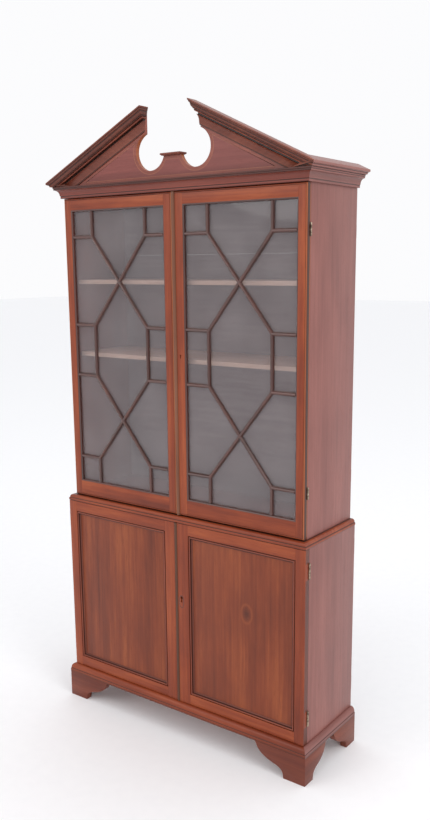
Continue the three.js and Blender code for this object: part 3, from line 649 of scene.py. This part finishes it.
def lock_cutters(level, side, front):
    """What a stile loses to its lock: pocket, bolt slot and keyhole, or the mortise in the other door."""
    case, bolt = span(f"{level}_lock_case"), span(f"{level}_lock_bolt")
    slot_d, slot_z = grown(bolt["d"], CLEAR), grown(bolt["z"], CLEAR)
    tool = Shells()
    if side == "left":
        tool.block((bolt["x"][0] - 6, bolt["x"][0] + 3), slot_d, slot_z, STEEL, "x", 0.05)
        return [tool], sum(bolt["z"]) / 2
    pocket_d = (case["d"][0] - 2, case["d"][1] + GLUE)
    tool.block(grown(case["x"], GLUE), pocket_d, grown(case["z"], GLUE), STEEL, "x", 0.05)
    run = Shells()
    run.block((bolt["x"][0] - 3, case["x"][0] + 1), slot_d, slot_z, STEEL, "x", 0.05)
    middle = sum(case["z"]) / 2
    key_x = bolt["x"][1] + 1
    size, rise = KEYHOLES[level]
    hole = keyhole(key_x, middle + rise, (case["d"][1] - 1, front + 1), size)
    return [tool, run, hole], middle


def rail_and_stiles(level, side, opening, section, edge, seed):
    """The frame of a door: stiles the full height and rails between them; the callers plant mitred mouldings
    round.
    """
    node = f"{level}_{side}_door_frame"
    box, s = span(node), sign(side)
    back, front = box["d"]
    outline = {"x": grown(box["x"], -edge), "z": grown(box["z"], -edge)}
    upright_wood, level_wood = wood("front", "Z", seed), wood("front", "X", seed + 1)
    shells = Shells()

    hinge_x, meet_x = (1, 0) if s > 0 else (0, 1)
    rebate_d, rebate = section
    # hinge stile
    outer, inner = outline["x"][hinge_x], opening["x"][hinge_x]
    step = s * rebate
    for z, place in segments(outline["z"], hinge_places(level, side)):
        if place:
            corners = notched(outer, inner + step, back, front, place, False)[:-1]
            corners += [(inner + step, rebate_d), (inner, rebate_d), (inner, front)]
            profile = eased(corners, 0.06, 0.0)
        else:
            # The outer face darkens towards the back: painted shade in the gap between door and case.
            profile = eased([(outer, back, 0.7), (outer, front - 1.0, 0.5), (outer, front), (inner, front),
                             (inner, rebate_d), (inner + step, rebate_d), (inner + step, back)], 0.35, 0.0)
        shells.sweep(profile, upright_wood, *[lambda u, v, e=e: at(u, v, e) for e in z])
    # meeting stile, cut for the lock or its bolt
    outer, inner = outline["x"][meet_x], opening["x"][meet_x]
    corners = [(outer, back), (outer, front), (inner, front), (inner, rebate_d),
               (inner - step, rebate_d), (inner - step, back)]
    profile = eased(corners, 0.35, 0.0)
    cutters, middle = lock_cutters(level, side, front)
    low, high = middle - LOCK_ZONE, middle + LOCK_ZONE
    for z in ((outline["z"][0], low), (high, outline["z"][1])):
        shells.sweep(profile, upright_wood, *[lambda u, v, e=e: at(u, v, e) for e in z])
    piece = Shells()
    piece.sweep(profile, upright_wood, *[lambda u, v, e=e: at(u, v, e) for e in (low, high)])
    shells.absorb(cut(piece, cutters, "stile"), upright_wood)
    # rails
    for k in (0, 1):
        outer, inner = outline["z"][k], opening["z"][k]
        away = rebate if k else -rebate
        profile = eased([(back, outer), (front, outer), (front, inner), (rebate_d, inner),
                         (rebate_d, inner + away), (back, inner + away)], 0.35, 0.0)
        shells.sweep(profile, level_wood, *[lambda u, v, e=e: at(e, u, v) for e in opening["x"]])
    return shells, box, front


def mitred(shells, rectangle, profile, materials, gap=None):
    """Four mitred lengths of a profile of (inset, depth) round a rectangle. A gap is a side, a range of
    heights and the profile there, for an upright that something passes through."""
    (x0, x1), (z0, z1) = rectangle["x"], rectangle["z"]
    corners = [((x0, z0), (1, 1)), ((x1, z0), (-1, 1)), ((x1, z1), (-1, -1)), ((x0, z1), (1, -1))]

    def corner(i):
        (x, z), (tx, tz) = corners[i % 4]
        return lambda u, v: at(x + tx * u, v, z + tz * u)

    def level(i, z):
        (x, _), (tx, _) = corners[i]
        return lambda u, v: at(x + tx * u, v, z)

    for i in range(4):
        if gap and gap[0] == i:
            first, last = gap[1] if i == 1 else gap[1][::-1]
            shells.sweep(profile, materials[1], corner(i), level(i, first))
            shells.sweep(gap[2], materials[1], level(i, first), level(i, last))
            shells.sweep(profile, materials[1], level(i, last), corner(i + 1))
        else:
            shells.sweep(profile, materials[i % 2], corner(i), corner(i + 1))


def half_round(x0, width, base, height, steps=14):
    """Corners of a half round with a small quirk at each side."""
    points = [(x0, base)]
    for i in range(steps + 1):
        t = math.pi * i / steps
        u = x0 + 0.25 + (width / 2 - 0.25) * (1 - math.cos(t))
        points.append((u, base + 0.35 + (height - 0.35) * math.sin(t)))
    return points + [(x0 + width, base)]


def meeting_bead(level):
    node = f"{level}_right_meeting_bead"
    box = span(node)
    (x0, x1), (d0, d1) = box["x"], box["d"]
    shells = Shells()
    section = [(u, v, 0.0) for u, v in half_round(x0, x1 - x0, d0, d1 - d0)]
    shells.sweep(section, wood(f"{level}_strip", "Z", 31), *[lambda u, v, e=e: at(u, v, e) for e in box["z"]])
    make(f"{node}_fine", shells, node)


def upper_door(side, seed):
    glass = span(f"upper_{side}_glass")
    opening = {"x": grown(glass["x"], -GLASS_LAP), "z": grown(glass["z"], -GLASS_LAP)}
    glass_front = glass["d"][1] + GLUE
    shells, box, front = rail_and_stiles("upper", side, opening, (glass_front, GLASS_REBATE), COCK_BEAD, seed)
    ovolo = [(0, front - 0.3), *curve((0.25, front - 0.3), (SIGHT_OVOLO, front - 2.7), (2.0, front - 0.5)),
             (SIGHT_OVOLO, glass_front), (0, glass_front)]
    # The ovolo takes the near-black bar tone: dark old polish, with painted shade at the glass edge.
    dark = (wood("bar", "X", 12), wood("bar", "Z", 13))
    mitred(shells, opening, eased(ovolo, 0.08, 0.5), dark)
    back = box["d"][0]
    hinge_depth = back + BEAD_REAR
    bolt = span("upper_lock_bolt")
    slot_d, slot_z = grown(bolt["d"], CLEAR), grown(bolt["z"], CLEAR)

    def bead(rear):
        # The third numbers darken the quirk beside the bead and its outer face: painted shade in the quirk and
        # in the gap round the door.
        return eased([
            (COCK_BEAD, rear), (COCK_BEAD, front - 0.45, 1.0), (COCK_BEAD - 0.35, front - 0.45, 0.9),
            *curve((COCK_BEAD - 0.5, front - 0.12), (0.45, front - 0.3), (COCK_BEAD / 2, front + 0.25), 6),
            (0, front - 0.8, 0.9), (0, rear, 1.0),
        ], 0.08, 0.4)

    # The upright beads take the lighter edge tone, a painted glint along them; the level beads take the front
    # tone.
    bead_and_glint_woods = (wood("front", "X", seed + 5), wood("edge", "Z", seed + 6))
    meeting_side = 3 if side == "right" else 1
    mitred(shells, box, bead(hinge_depth), bead_and_glint_woods, (meeting_side, slot_z, bead(slot_d[1])))
    for k in (0, 1):
        z0 = box["z"][k]
        inner = z0 + (COCK_BEAD if k == 0 else -COCK_BEAD)
        shells.block(box["x"], (back, hinge_depth), sorted((z0, inner)), bead_and_glint_woods[0], "x", 0.1)
    low, high = grown(box["z"], -COCK_BEAD)
    for k in (0, 1):
        x0 = box["x"][k]
        across = sorted((x0, x0 + (COCK_BEAD if k == 0 else -COCK_BEAD)))
        if (k == 1) == (side == "right"):
            for z, place in segments((low, high), hinge_places("upper", side)):
                if not place:
                    shells.block(across, (back, hinge_depth), z, bead_and_glint_woods[1], "z", 0.1)
        else:
            shells.block(across, (back, hinge_depth), (low, slot_z[0]), bead_and_glint_woods[1], "z", 0.1)
            shells.block(across, (back, slot_d[0]), slot_z, bead_and_glint_woods[1], "z", 0.1)
            shells.block(across, (back, hinge_depth), (slot_z[1], high), bead_and_glint_woods[1], "z", 0.1)
    node = f"upper_{side}_door_frame"
    make(f"{node}_fine", shells, node)


def oval(place, steps=40):
    """A closed path round an oval."""
    turns = [2 * math.pi * i / steps for i in range(steps)]
    return [(place["x"] + place["half_width"] * math.cos(t), place["z"] + place["half_height"] * math.sin(t))
            for t in turns]


def lower_door(side, seed):
    panel = span(f"lower_{side}_panel")
    opening = {"x": grown(panel["x"], -PANEL_LAP), "z": grown(panel["z"], -PANEL_LAP)}
    face = panel["d"][1]
    shells, box, front = rail_and_stiles("lower", side, opening, (face + GLUE, PANEL_REBATE), 0.0, seed)
    # The third numbers darken the quirks at each side of the bead and part of the hollow down to the panel:
    # painted shade, with old polish in the hollows.
    moulding = [
        (0, face + GLUE), (0, front - 2.0, 1.0), (1.1, front - 2.0, 1.0), (1.2, front - 0.6),
        *curve((1.3, front - 0.3), (3.1, front - 0.3), (2.2, front + 0.9), 8),
        (3.2, front - 2.0, 1.0), (4.2, front - 2.0, 1.0),
        *[(*p, 0.35) for p in curve((4.3, front - 1.7), (5.4, face + 0.6), (4.5, face + 0.8), 6)],
        (PANEL_MOULDING, face + GLUE, 1.0),
    ]
    dark = (wood("rake", "X", 14), wood("rake", "Z", 15))
    mitred(shells, opening, eased(moulding, 0.12, 0.5), dark)
    if side == "right":
        shells.line(oval(ESCUTCHEON), (front - 0.4, front + 0.18), 0.35, wood("bar", "Z", 19))
    node = f"lower_{side}_door_frame"
    make(f"{node}_fine", shells, node)

    board = Shells()
    knot = KNOT if side == "right" else None
    board.block(panel["x"], panel["d"], panel["z"], wood("panel", "Z", seed + 2, knot), "z", 0.3)
    make(f"lower_{side}_panel_fine", board, f"lower_{side}_panel")


def glazing(side):
    """The lattice: half-round bars, with a turned meeting wherever bars cross."""
    node = f"upper_{side}_glazing_bars"
    box = span(node)
    base = box["d"][0]
    uprights = BAR_X if side == "right" else tuple(-x for x in reversed(BAR_X))
    low, low_mid, high_mid, top = BAR_Z
    profile = [(-BAR_HALF, 0), (BAR_HALF, 0), (BAR_HALF, 0.9)]
    for i in range(13):
        t = math.pi * i / 12
        profile.append((BAR_HALF * 0.86 * math.cos(t), 1.0 + (BAR_HEIGHT - 1.0) * math.sin(t)))
    profile.append((-BAR_HALF, 0.9))
    shells = Shells()

    def bar(a, b, material):
        length = math.hypot(b[0] - a[0], b[1] - a[1])
        across = (-(b[1] - a[1]) / length, (b[0] - a[0]) / length)
        ends = [lambda w, h, p=p: at(p[0] + across[0] * w, base + h, p[1] + across[1] * w) for p in (a, b)]
        # The low faces of each bar, next to the glass, are darkened: painted shade.
        shells.sweep([(u, v, 0.45 if v < 0.95 else 0.0) for u, v in profile], material, *ends)

    def boss(x, z, material):
        rings = []
        for r, h in [(BAR_HALF, 0.0), (BAR_HALF, 0.9)] + [
            (BAR_HALF * 0.86 * math.cos(math.radians(a)), 1.0 + (BAR_HEIGHT - 1.0) * math.sin(math.radians(a)))
            for a in (0, 15, 30, 45, 60, 75, 86)
        ]:
            turn = [2 * math.pi * t / 20 for t in range(20)]
            rings.append([at(x + r * math.cos(t), base + h, z + r * math.sin(t)) for t in turn])
        shells.loft(rings, material)

    upright_wood, level_wood = wood("bar", "Z", 16), wood("bar", "X", 17)
    for i, x in enumerate(uprights):
        edge = box["x"][0] if i == 0 else box["x"][1]
        bar((x, box["z"][0]), (x, low), upright_wood)
        bar((x, low_mid), (x, high_mid), upright_wood)
        bar((x, top), (x, box["z"][1]), upright_wood)
        for z in BAR_Z:
            bar((edge, z), (x, z), level_wood)
            boss(x, z, level_wood)
    slope = (low_mid - low) / (uprights[1] - uprights[0])
    for a, b in ((low, low_mid), (high_mid, top)):
        bar((uprights[0], a), (uprights[1], b), wood("bar", -slope, 18))
        bar((uprights[0], b), (uprights[1], a), wood("bar", slope, 18))
        boss(sum(uprights) / 2, (a + b) / 2, level_wood)
    make(f"{node}_fine", shells, node)


for i, side in enumerate(SIDES):
    upper_door(side, 40 + 8 * i)
    lower_door(side, 60 + 8 * i)
    glazing(side)
meeting_bead("upper")
meeting_bead("lower")

# ---- boards ---------------------------------------------------------------------------------------

for node, tone, seed, slot, finished in (
    ("base_bottom_board", "side", 21, "side_mahogany", False),
    ("case_bottom_board", "side", 22, "side_mahogany", False),
    ("case_top_board", "side", 23, "side_mahogany", False),
    ("base_back_panel", "back", 24, "back_board", False),
    ("back_board_lower", "back", 25, "back_board", False),
    ("back_board_upper", "back", 26, "back_board", False),
    ("base_shelf", "shelf", 27, "shelf_wood", False),
    ("lower_shelf", "shelf", 28, "shelf_wood", False),
    ("upper_shelf", "shelf", 29, "shelf_wood", False),
):
    box, shells = span(node), Shells()
    shells.block(box["x"], box["d"], box["z"], wood(tone, "X", seed, polish=finished), "x", 0.45)
    make(f"{node}_fine", shells, node)


def slab(name, levels, half, depths, material, moulded_back=False):
    """A slab whose edge follows (out, z) levels on the front and ends; a level may have a darkening (old polish
    and painted shade) as well.
    """
    back, front = depths
    levels = [(*level, 0.0)[:3] for level in levels]
    shells, sections = Shells(), []
    for out, z, _ in levels:
        rear = back - out if moulded_back else back
        sections.append([at(-half - out, rear, z), at(half + out, rear, z),
                         at(half + out, front + out, z), at(-half - out, front + out, z)])
    shells.loft(sections, material)
    shells.ages = [age for _, _, age in levels for _ in range(4)]
    make(f"{name}_fine", shells, name)


waist = span("base_top_board")
z0, z1 = waist["z"]
# The third numbers darken the underside, the quirk and the back of the top where the case stands on it: painted
# shade.
waist_edge = [
    (0.1, z0, 1.0), (0.3, z0 + 0.4, 0.9), (0.5, z0 + 0.9), (0.5, z0 + 3.2), (0.2, z0 + 3.8, 0.8),
    (-0.5, z0 + 4.2, 1.0), *curve((-0.6, z0 + 4.7), (-4.4, z1 - 0.1), (-0.8, z1 - 0.4), 9), (-6.3, z1, 1.0),
]
waist_depths = (waist["d"][0], waist["d"][1] - 0.5)
slab("base_top_board", waist_edge, waist["x"][1] - 0.5, waist_depths, wood("front", "X", 33))
cap = span("pedestal_cap")
z0, z1 = cap["z"]
slab("pedestal_cap", [(-1.4, z0), (-1.0, z0 + 0.8), (-0.3, z0 + 1.0), (0, z0 + 1.2), (0, z1 - 0.6),
     (-0.2, z1 - 0.2), (-0.7, z1)], cap["x"][1], cap["d"], wood("foot", "X", 34), True)

# ---- mouldings round the plinth and cornice -------------------------------------------------------


def side_run(node, profile, side, half, corner_depth, material):
    s, shells = sign(side), Shells()
    shells.sweep(profile, material,
                 lambda out, z: at(s * (half + out), 0, z),
                 lambda out, z: at(s * (half + out), corner_depth + out - GLUE, z))
    make(f"{node}_fine", shells, node)


def front_run(node, profile, corners, half, corner_depth, material):
    shells = Shells()
    shells.sweep(profile, material,
                 lambda out, z: at(-half - out, corner_depth + out, z),
                 lambda out, z: at(half + out, corner_depth + out, z))
    inner, box = corners[0][0], span(node)
    reach = half + inner - GLUE
    shells.block((-reach, reach), (box["d"][0], corner_depth + inner), box["z"], material, "x", 0.1)
    make(f"{node}_fine", shells, node)


plinth = span("plinth_moulding_front")
base_half = span("base_right_side")["x"][1]
z0, z1 = plinth["z"]
plinth_inner = base_half + GLUE - PLINTH_HALF
# The third numbers darken the bottom edge and the quirk over the cove: painted shade.
plinth_profile = [(plinth_inner, z0), (0, z0, 0.7), (0, z0 + 4.6), (-0.6, z0 + 4.9, 0.9), (-0.7, z0 + 5.3, 0.9),
                  *curve((-0.8, z0 + 5.5), (-6, z1), (-1, z1 - 0.6), 10), (plinth_inner, z1)]
# The side runs take the paler side tone, a painted sheen; the front run takes the front tone.
for side in SIDES:
    side_run(f"plinth_moulding_{side}", eased(plinth_profile, 0.3), side, PLINTH_HALF, plinth["d"][1],
             wood("side", "Y", 35))
front_run("plinth_moulding_front", eased(plinth_profile, 0.3), plinth_profile, PLINTH_HALF, plinth["d"][1],
          wood("front", "X", 36))

z0 = span("cornice_front")["z"][0]
z1 = z0 + 16.2
door_front = span("upper_right_door_frame")["d"][1]
# The third numbers darken the quirks and the recess under the crown: painted shade, with old polish in the
# hollows.
cornice_face = [
    (3.4, z0, 0.6), (3.4, z0 + 3.4), (3.9, z0 + 3.7, 0.8),
    *curve((4.1, z0 + 4.0), (9.2, z1 - 4.7), (4.6, z1 - 5.8), 10),
    (10.4, z1 - 4.5, 0.9), (10.4, z1 - 2.4, 0.7), (11.2, z1 - 2.2, 0.7), (11.2, z1 - 0.4, 0.8),
]


def rake_top(x):
    return CROWN_EDGE_Z + RAKE * (CASE_HALF + PROJECTION - abs(x))


side_profile = [(GLUE, z0), *[p[:2] for p in cornice_face],
                (14, z1), (14.4, z1 + 0.8), (14.6, z1 + 2.0), (16.2, z1 + 2.4),
                *curve((16.6, z1 + 2.6), (PROJECTION, z1 + 3.8), (17.8, z1 + 2.8), 4),
                (PROJECTION, CROWN_EDGE_Z), (GLUE, rake_top(CASE_HALF + GLUE))]
# Its lower back corner is darkened: painted shade under the cornice.
front_profile = [(GLUE, z0, 1.0), *cornice_face, (GLUE, z1 - 0.4)]
# The side runs take the paler side tone, a painted sheen; the front run takes the cornice tone.
for side in SIDES:
    side_run(f"cornice_{side}", eased(side_profile, 0.3), side, CASE_HALF, door_front, wood("side", "Y", 37))
front_run("cornice_front", eased(front_profile, 0.3), front_profile, CASE_HALF, door_front,
          wood("cornice", "X", 38))

# ---- pediment -------------------------------------------------------------------------------------

# The third numbers darken the section: fully in the recesses and quirks, as painted shade with old polish, and
# part-way on the crown curves.
rake_profile = [
    (GLUE, -RAKE_DROP), (1.4, -RAKE_DROP, 0.8), (1.4, -RAKE_DROP + 1.5, 0.6),
    *curve((1.7, -25.6), (5.6, -15.6), (1.8, -17.6), 10),
    (3.4, -15.2, 1.0), (3.4, -12.8, 1.0), (7.2, -12.6, 0.9),
    *curve((7.8, -12.6), (7.8, -10.3), (10.2, -11.5), 6),
    (10.6, -10.2, 0.9), (10.6, -9.2, 0.9), (11.6, -9.0, 0.5),
    *[(*p, 0.45) for p in curve((11.8, -8.8), (14.0, -5.6), (13.8, -7.8), 6)],
    (14.4, -5.3, 0.8), (14.4, -4.6, 0.8), (15.2, -4.4, 0.5),
    *[(*p, 0.40) for p in curve((15.4, -4.2), (16.8, -2.4), (16.7, -3.6), 4)],
    (PROJECTION, -2.0, 0.4), (PROJECTION, 0), (GLUE, 0),
]


def raking(side):
    s, shells = sign(side), Shells()
    ratio = (RAKE_END - RAKE_TIP) / PROJECTION
    floor = span("cornice_front")["z"][1] + GLUE

    def low_end(out, drop):
        x = CASE_HALF + out
        z = rake_top(x) + drop
        if z < floor:  # the lower members run out on top of the cornice
            x -= (floor - z) / RAKE
            z = floor
        return at(s * x, door_front + out, z)

    def tip(out, drop):
        x = RAKE_END - ratio * out
        return at(s * x, door_front + out, rake_top(x) + drop)

    def returned(out, drop):
        x = RAKE_END - ratio * out
        return at(s * x, door_front + GLUE, rake_top(x) + drop)

    shells.sweep(eased(rake_profile, 0.22, 0.9), wood("rake", s * RAKE, 39), low_end, tip, returned)
    make(f"raking_moulding_{side}_fine", shells, f"raking_moulding_{side}")


for side in SIDES:
    raking(side)


def fillet_path(floor):
    """The closed line inside the board's outline: over the cornice, under the rakes, and round the scoops."""
    cx, cz = SCOOP_CENTRE
    radius, low = SCOOP_RADIUS + STRING_INSET, floor + STRING_INSET
    drop = RAKE_DROP + STRING_INSET
    corner = CASE_HALF + PROJECTION - (low + drop - CROWN_EDGE_Z) / RAKE

    def over(angle):  # how far a place on the circle is above the line under the rake
        x, z = cx + radius * math.cos(angle), cz + radius * math.sin(angle)
        return z - (rake_top(x) - drop)

    below, above = 0.0, math.pi / 2
    for _ in range(30):
        middle = (below + above) / 2
        below, above = (middle, above) if over(middle) < 0 else (below, middle)
    stop = math.asin((PEDESTAL_TOP - STRING_INSET - cz) / radius)
    start, stop, steps = below, -math.pi - stop, 44
    right = [(corner, low)]
    for i in range(steps + 1):
        angle = start + (stop - start) * i / steps
        right.append((cx + radius * math.cos(angle), max(low + 1, cz + radius * math.sin(angle))))
    return right + [(-x, z) for x, z in reversed(right)]


def tympanum():
    node = "pediment_tympanum"
    box = span(node)
    cx, cz = SCOOP_CENTRE
    end, plumb, lap = box["x"][1], RAKE_END + 0.2, TYMPANUM_LAP
    top = math.acos((plumb - cx) / SCOOP_RADIUS)
    neck = math.asin((cz - PEDESTAL_TOP) / SCOOP_RADIUS)
    right = []
    steps = 56
    start, stop = top, -math.pi + neck
    for i in range(steps + 1):
        t = start + (stop - start) * i / steps
        right.append((cx + SCOOP_RADIUS * math.cos(t), cz + SCOOP_RADIUS * math.sin(t)))
    outline = [(end, box["z"][0]), (end, rake_top(end) - lap), (plumb, rake_top(plumb) - lap), *right]
    outline += [(-x, z) for x, z in reversed(outline)]
    shells = Shells()
    shells.loft([[at(x, d, z) for x, z in outline] for d in box["d"]], wood("border", "X", 41))
    arc, count = len(right) - 1, len(outline)
    # The scoop rims take the lighter edge tone: a painted highlight on the rim faces.
    rim = shells.slot(wood("edge", "X", 46))
    for i in (*range(3, 3 + arc), *range(count // 2, count // 2 + arc)):
        shells.slots[i] = rim
    front = box["d"][1]
    path = fillet_path(span("cornice_front")["z"][1])
    shells.loft([[at(x, d, z) for x, z in path] for d in (front - 0.5, front + 0.03)], wood("inlay", "X", 44))
    shells.line(path, (front - 0.4, front + 0.08), STRING_HALF, wood("string", "X", 45))
    make(f"{node}_fine", shells, node, bevel=0.0)


tympanum()

# ---- feet -----------------------------------------------------------------------------------------


def bracket_outline(length, pad, height):
    return [(0, 0), (pad, 0), *curve((pad + 0.8, 5), (pad + 7, 14), (pad + 1.2, 11), 9),
            *curve((pad + 13, 16.5), (length, height), (length - 4, 23), 16), (0, height)]


def foot(name, side, corner, inwards, sizes):
    """Two brackets mitred at the corner."""
    s, height, shells = sign(side), span(name)["z"][1], Shells()
    for key, material in (("across", wood("foot", "X", 42)), ("along", wood("foot", "Y", 43))):
        outline = bracket_outline(*sizes[key], height)

        def place(u, z, t, key=key):
            u = max(u, t)
            if key == "across":
                return at(s * (PLINTH_HALF - u), corner + inwards * t, z)
            return at(s * (PLINTH_HALF - t), corner + inwards * u, z)

        shells.loft([[place(u, z, t) for u, z in outline] for t in (0, BRACKET)], material)
    make(f"{name}_fine", shells, name, bevel=0.45)


for side in SIDES:
    foot(f"front_{side}_foot", side, plinth["d"][1], -1, FRONT_FOOT)
    foot(f"rear_{side}_foot", side, 0, 1, REAR_FOOT)

# ---- CAD nodes that keep their own shape ----------------------------------------------------------

for node, material in (
    ("upper_left_glass", GLASS),
    ("upper_right_glass", GLASS),
    ("upper_lock_case", STEEL),
    ("lower_lock_case", STEEL),
    ("upper_lock_bolt", BRASS),
    ("lower_lock_bolt", BRASS),
):
    data = frame["nodes"][node].data
    data.materials.clear()
    data.materials.append(material)

# ---- camera, light and floor ----------------------------------------------------------------------

CAMERA_PLACE = Vector((0.7427, -0.9571, 0.6846))
YAW, PITCH, ROLL = (math.radians(a) for a in (36.25, 11.33, -0.45))
forward = Vector((-math.sin(YAW) * math.cos(PITCH), math.cos(YAW) * math.cos(PITCH), -math.sin(PITCH)))
right = Vector((math.cos(YAW), math.sin(YAW), 0))
up = right.cross(forward)
turned_right = right * math.cos(ROLL) + up * math.sin(ROLL)
turned_up = up * math.cos(ROLL) - right * math.sin(ROLL)
lens = bpy.data.cameras.new("camera")
lens.sensor_width = 36
lens.lens = 37.47
lens.shift_x = -0.0110
lens.shift_y = 0.0316
lens.clip_start = 0.01
camera = bpy.data.objects.new("camera", lens)
camera.matrix_world = Matrix.Translation(CAMERA_PLACE) @ Matrix(
    (turned_right, turned_up, -forward)
).transposed().to_4x4()
bpy.context.scene.collection.objects.link(camera)
bpy.context.scene.camera = camera


def lamp(name, place, target, size, watts, colour=(1, 1, 1)):
    light = bpy.data.lights.new(name, "AREA")
    light.shape, light.size, light.energy, light.color = "DISK", size, watts, colour
    holder = bpy.data.objects.new(name, light)
    holder.location = place
    holder.rotation_mode = "QUATERNION"
    holder.rotation_quaternion = (Vector(target) - Vector(place)).to_track_quat("-Z", "Y")
    bpy.context.scene.collection.objects.link(holder)


MIDDLE = (0, 0, 0.45)
lamp("key", (2.2, -0.6, 1.9), MIDDLE, 1.5, 19, (1.0, 0.99, 0.98))
lamp("front", (-1.2, -2.4, 1.7), MIDDLE, 1.8, 14, (1.0, 0.98, 0.96))

world = bpy.data.worlds.new("studio")
world.use_nodes = True
world.node_tree.nodes["Background"].inputs[0].default_value = (0.972, 0.972, 0.985, 1)
world.node_tree.nodes["Background"].inputs[1].default_value = 1.0
bpy.context.scene.world = world
bpy.context.scene.view_settings.view_transform = "Standard"

FLOOR_HALF = 14.0
floor_mesh = bpy.data.meshes.new("floor")
floor_mesh.from_pydata([(x * FLOOR_HALF, y * FLOOR_HALF, 0) for x, y in ((-1, -1), (1, -1), (1, 1), (-1, 1))],
                       [], [(0, 1, 2, 3)])
floor = bpy.data.objects.new("floor", floor_mesh)
floor_nodes = Nodes("studio_floor")
speckle = floor_nodes.noise(floor_nodes.new("ShaderNodeTexCoord").outputs["Object"], 60.0, 3.0)
floor_nodes.link(floor_nodes.ramp(speckle, (0.3, (0.930, 0.936, 0.952)), (0.7, (0.946, 0.952, 0.966))),
                 floor_nodes.shader.inputs["Base Color"])
floor_nodes.shader.inputs["Roughness"].default_value = 0.7
floor_mesh.materials.append(floor_nodes.material)
bpy.context.scene.collection.objects.link(floor)
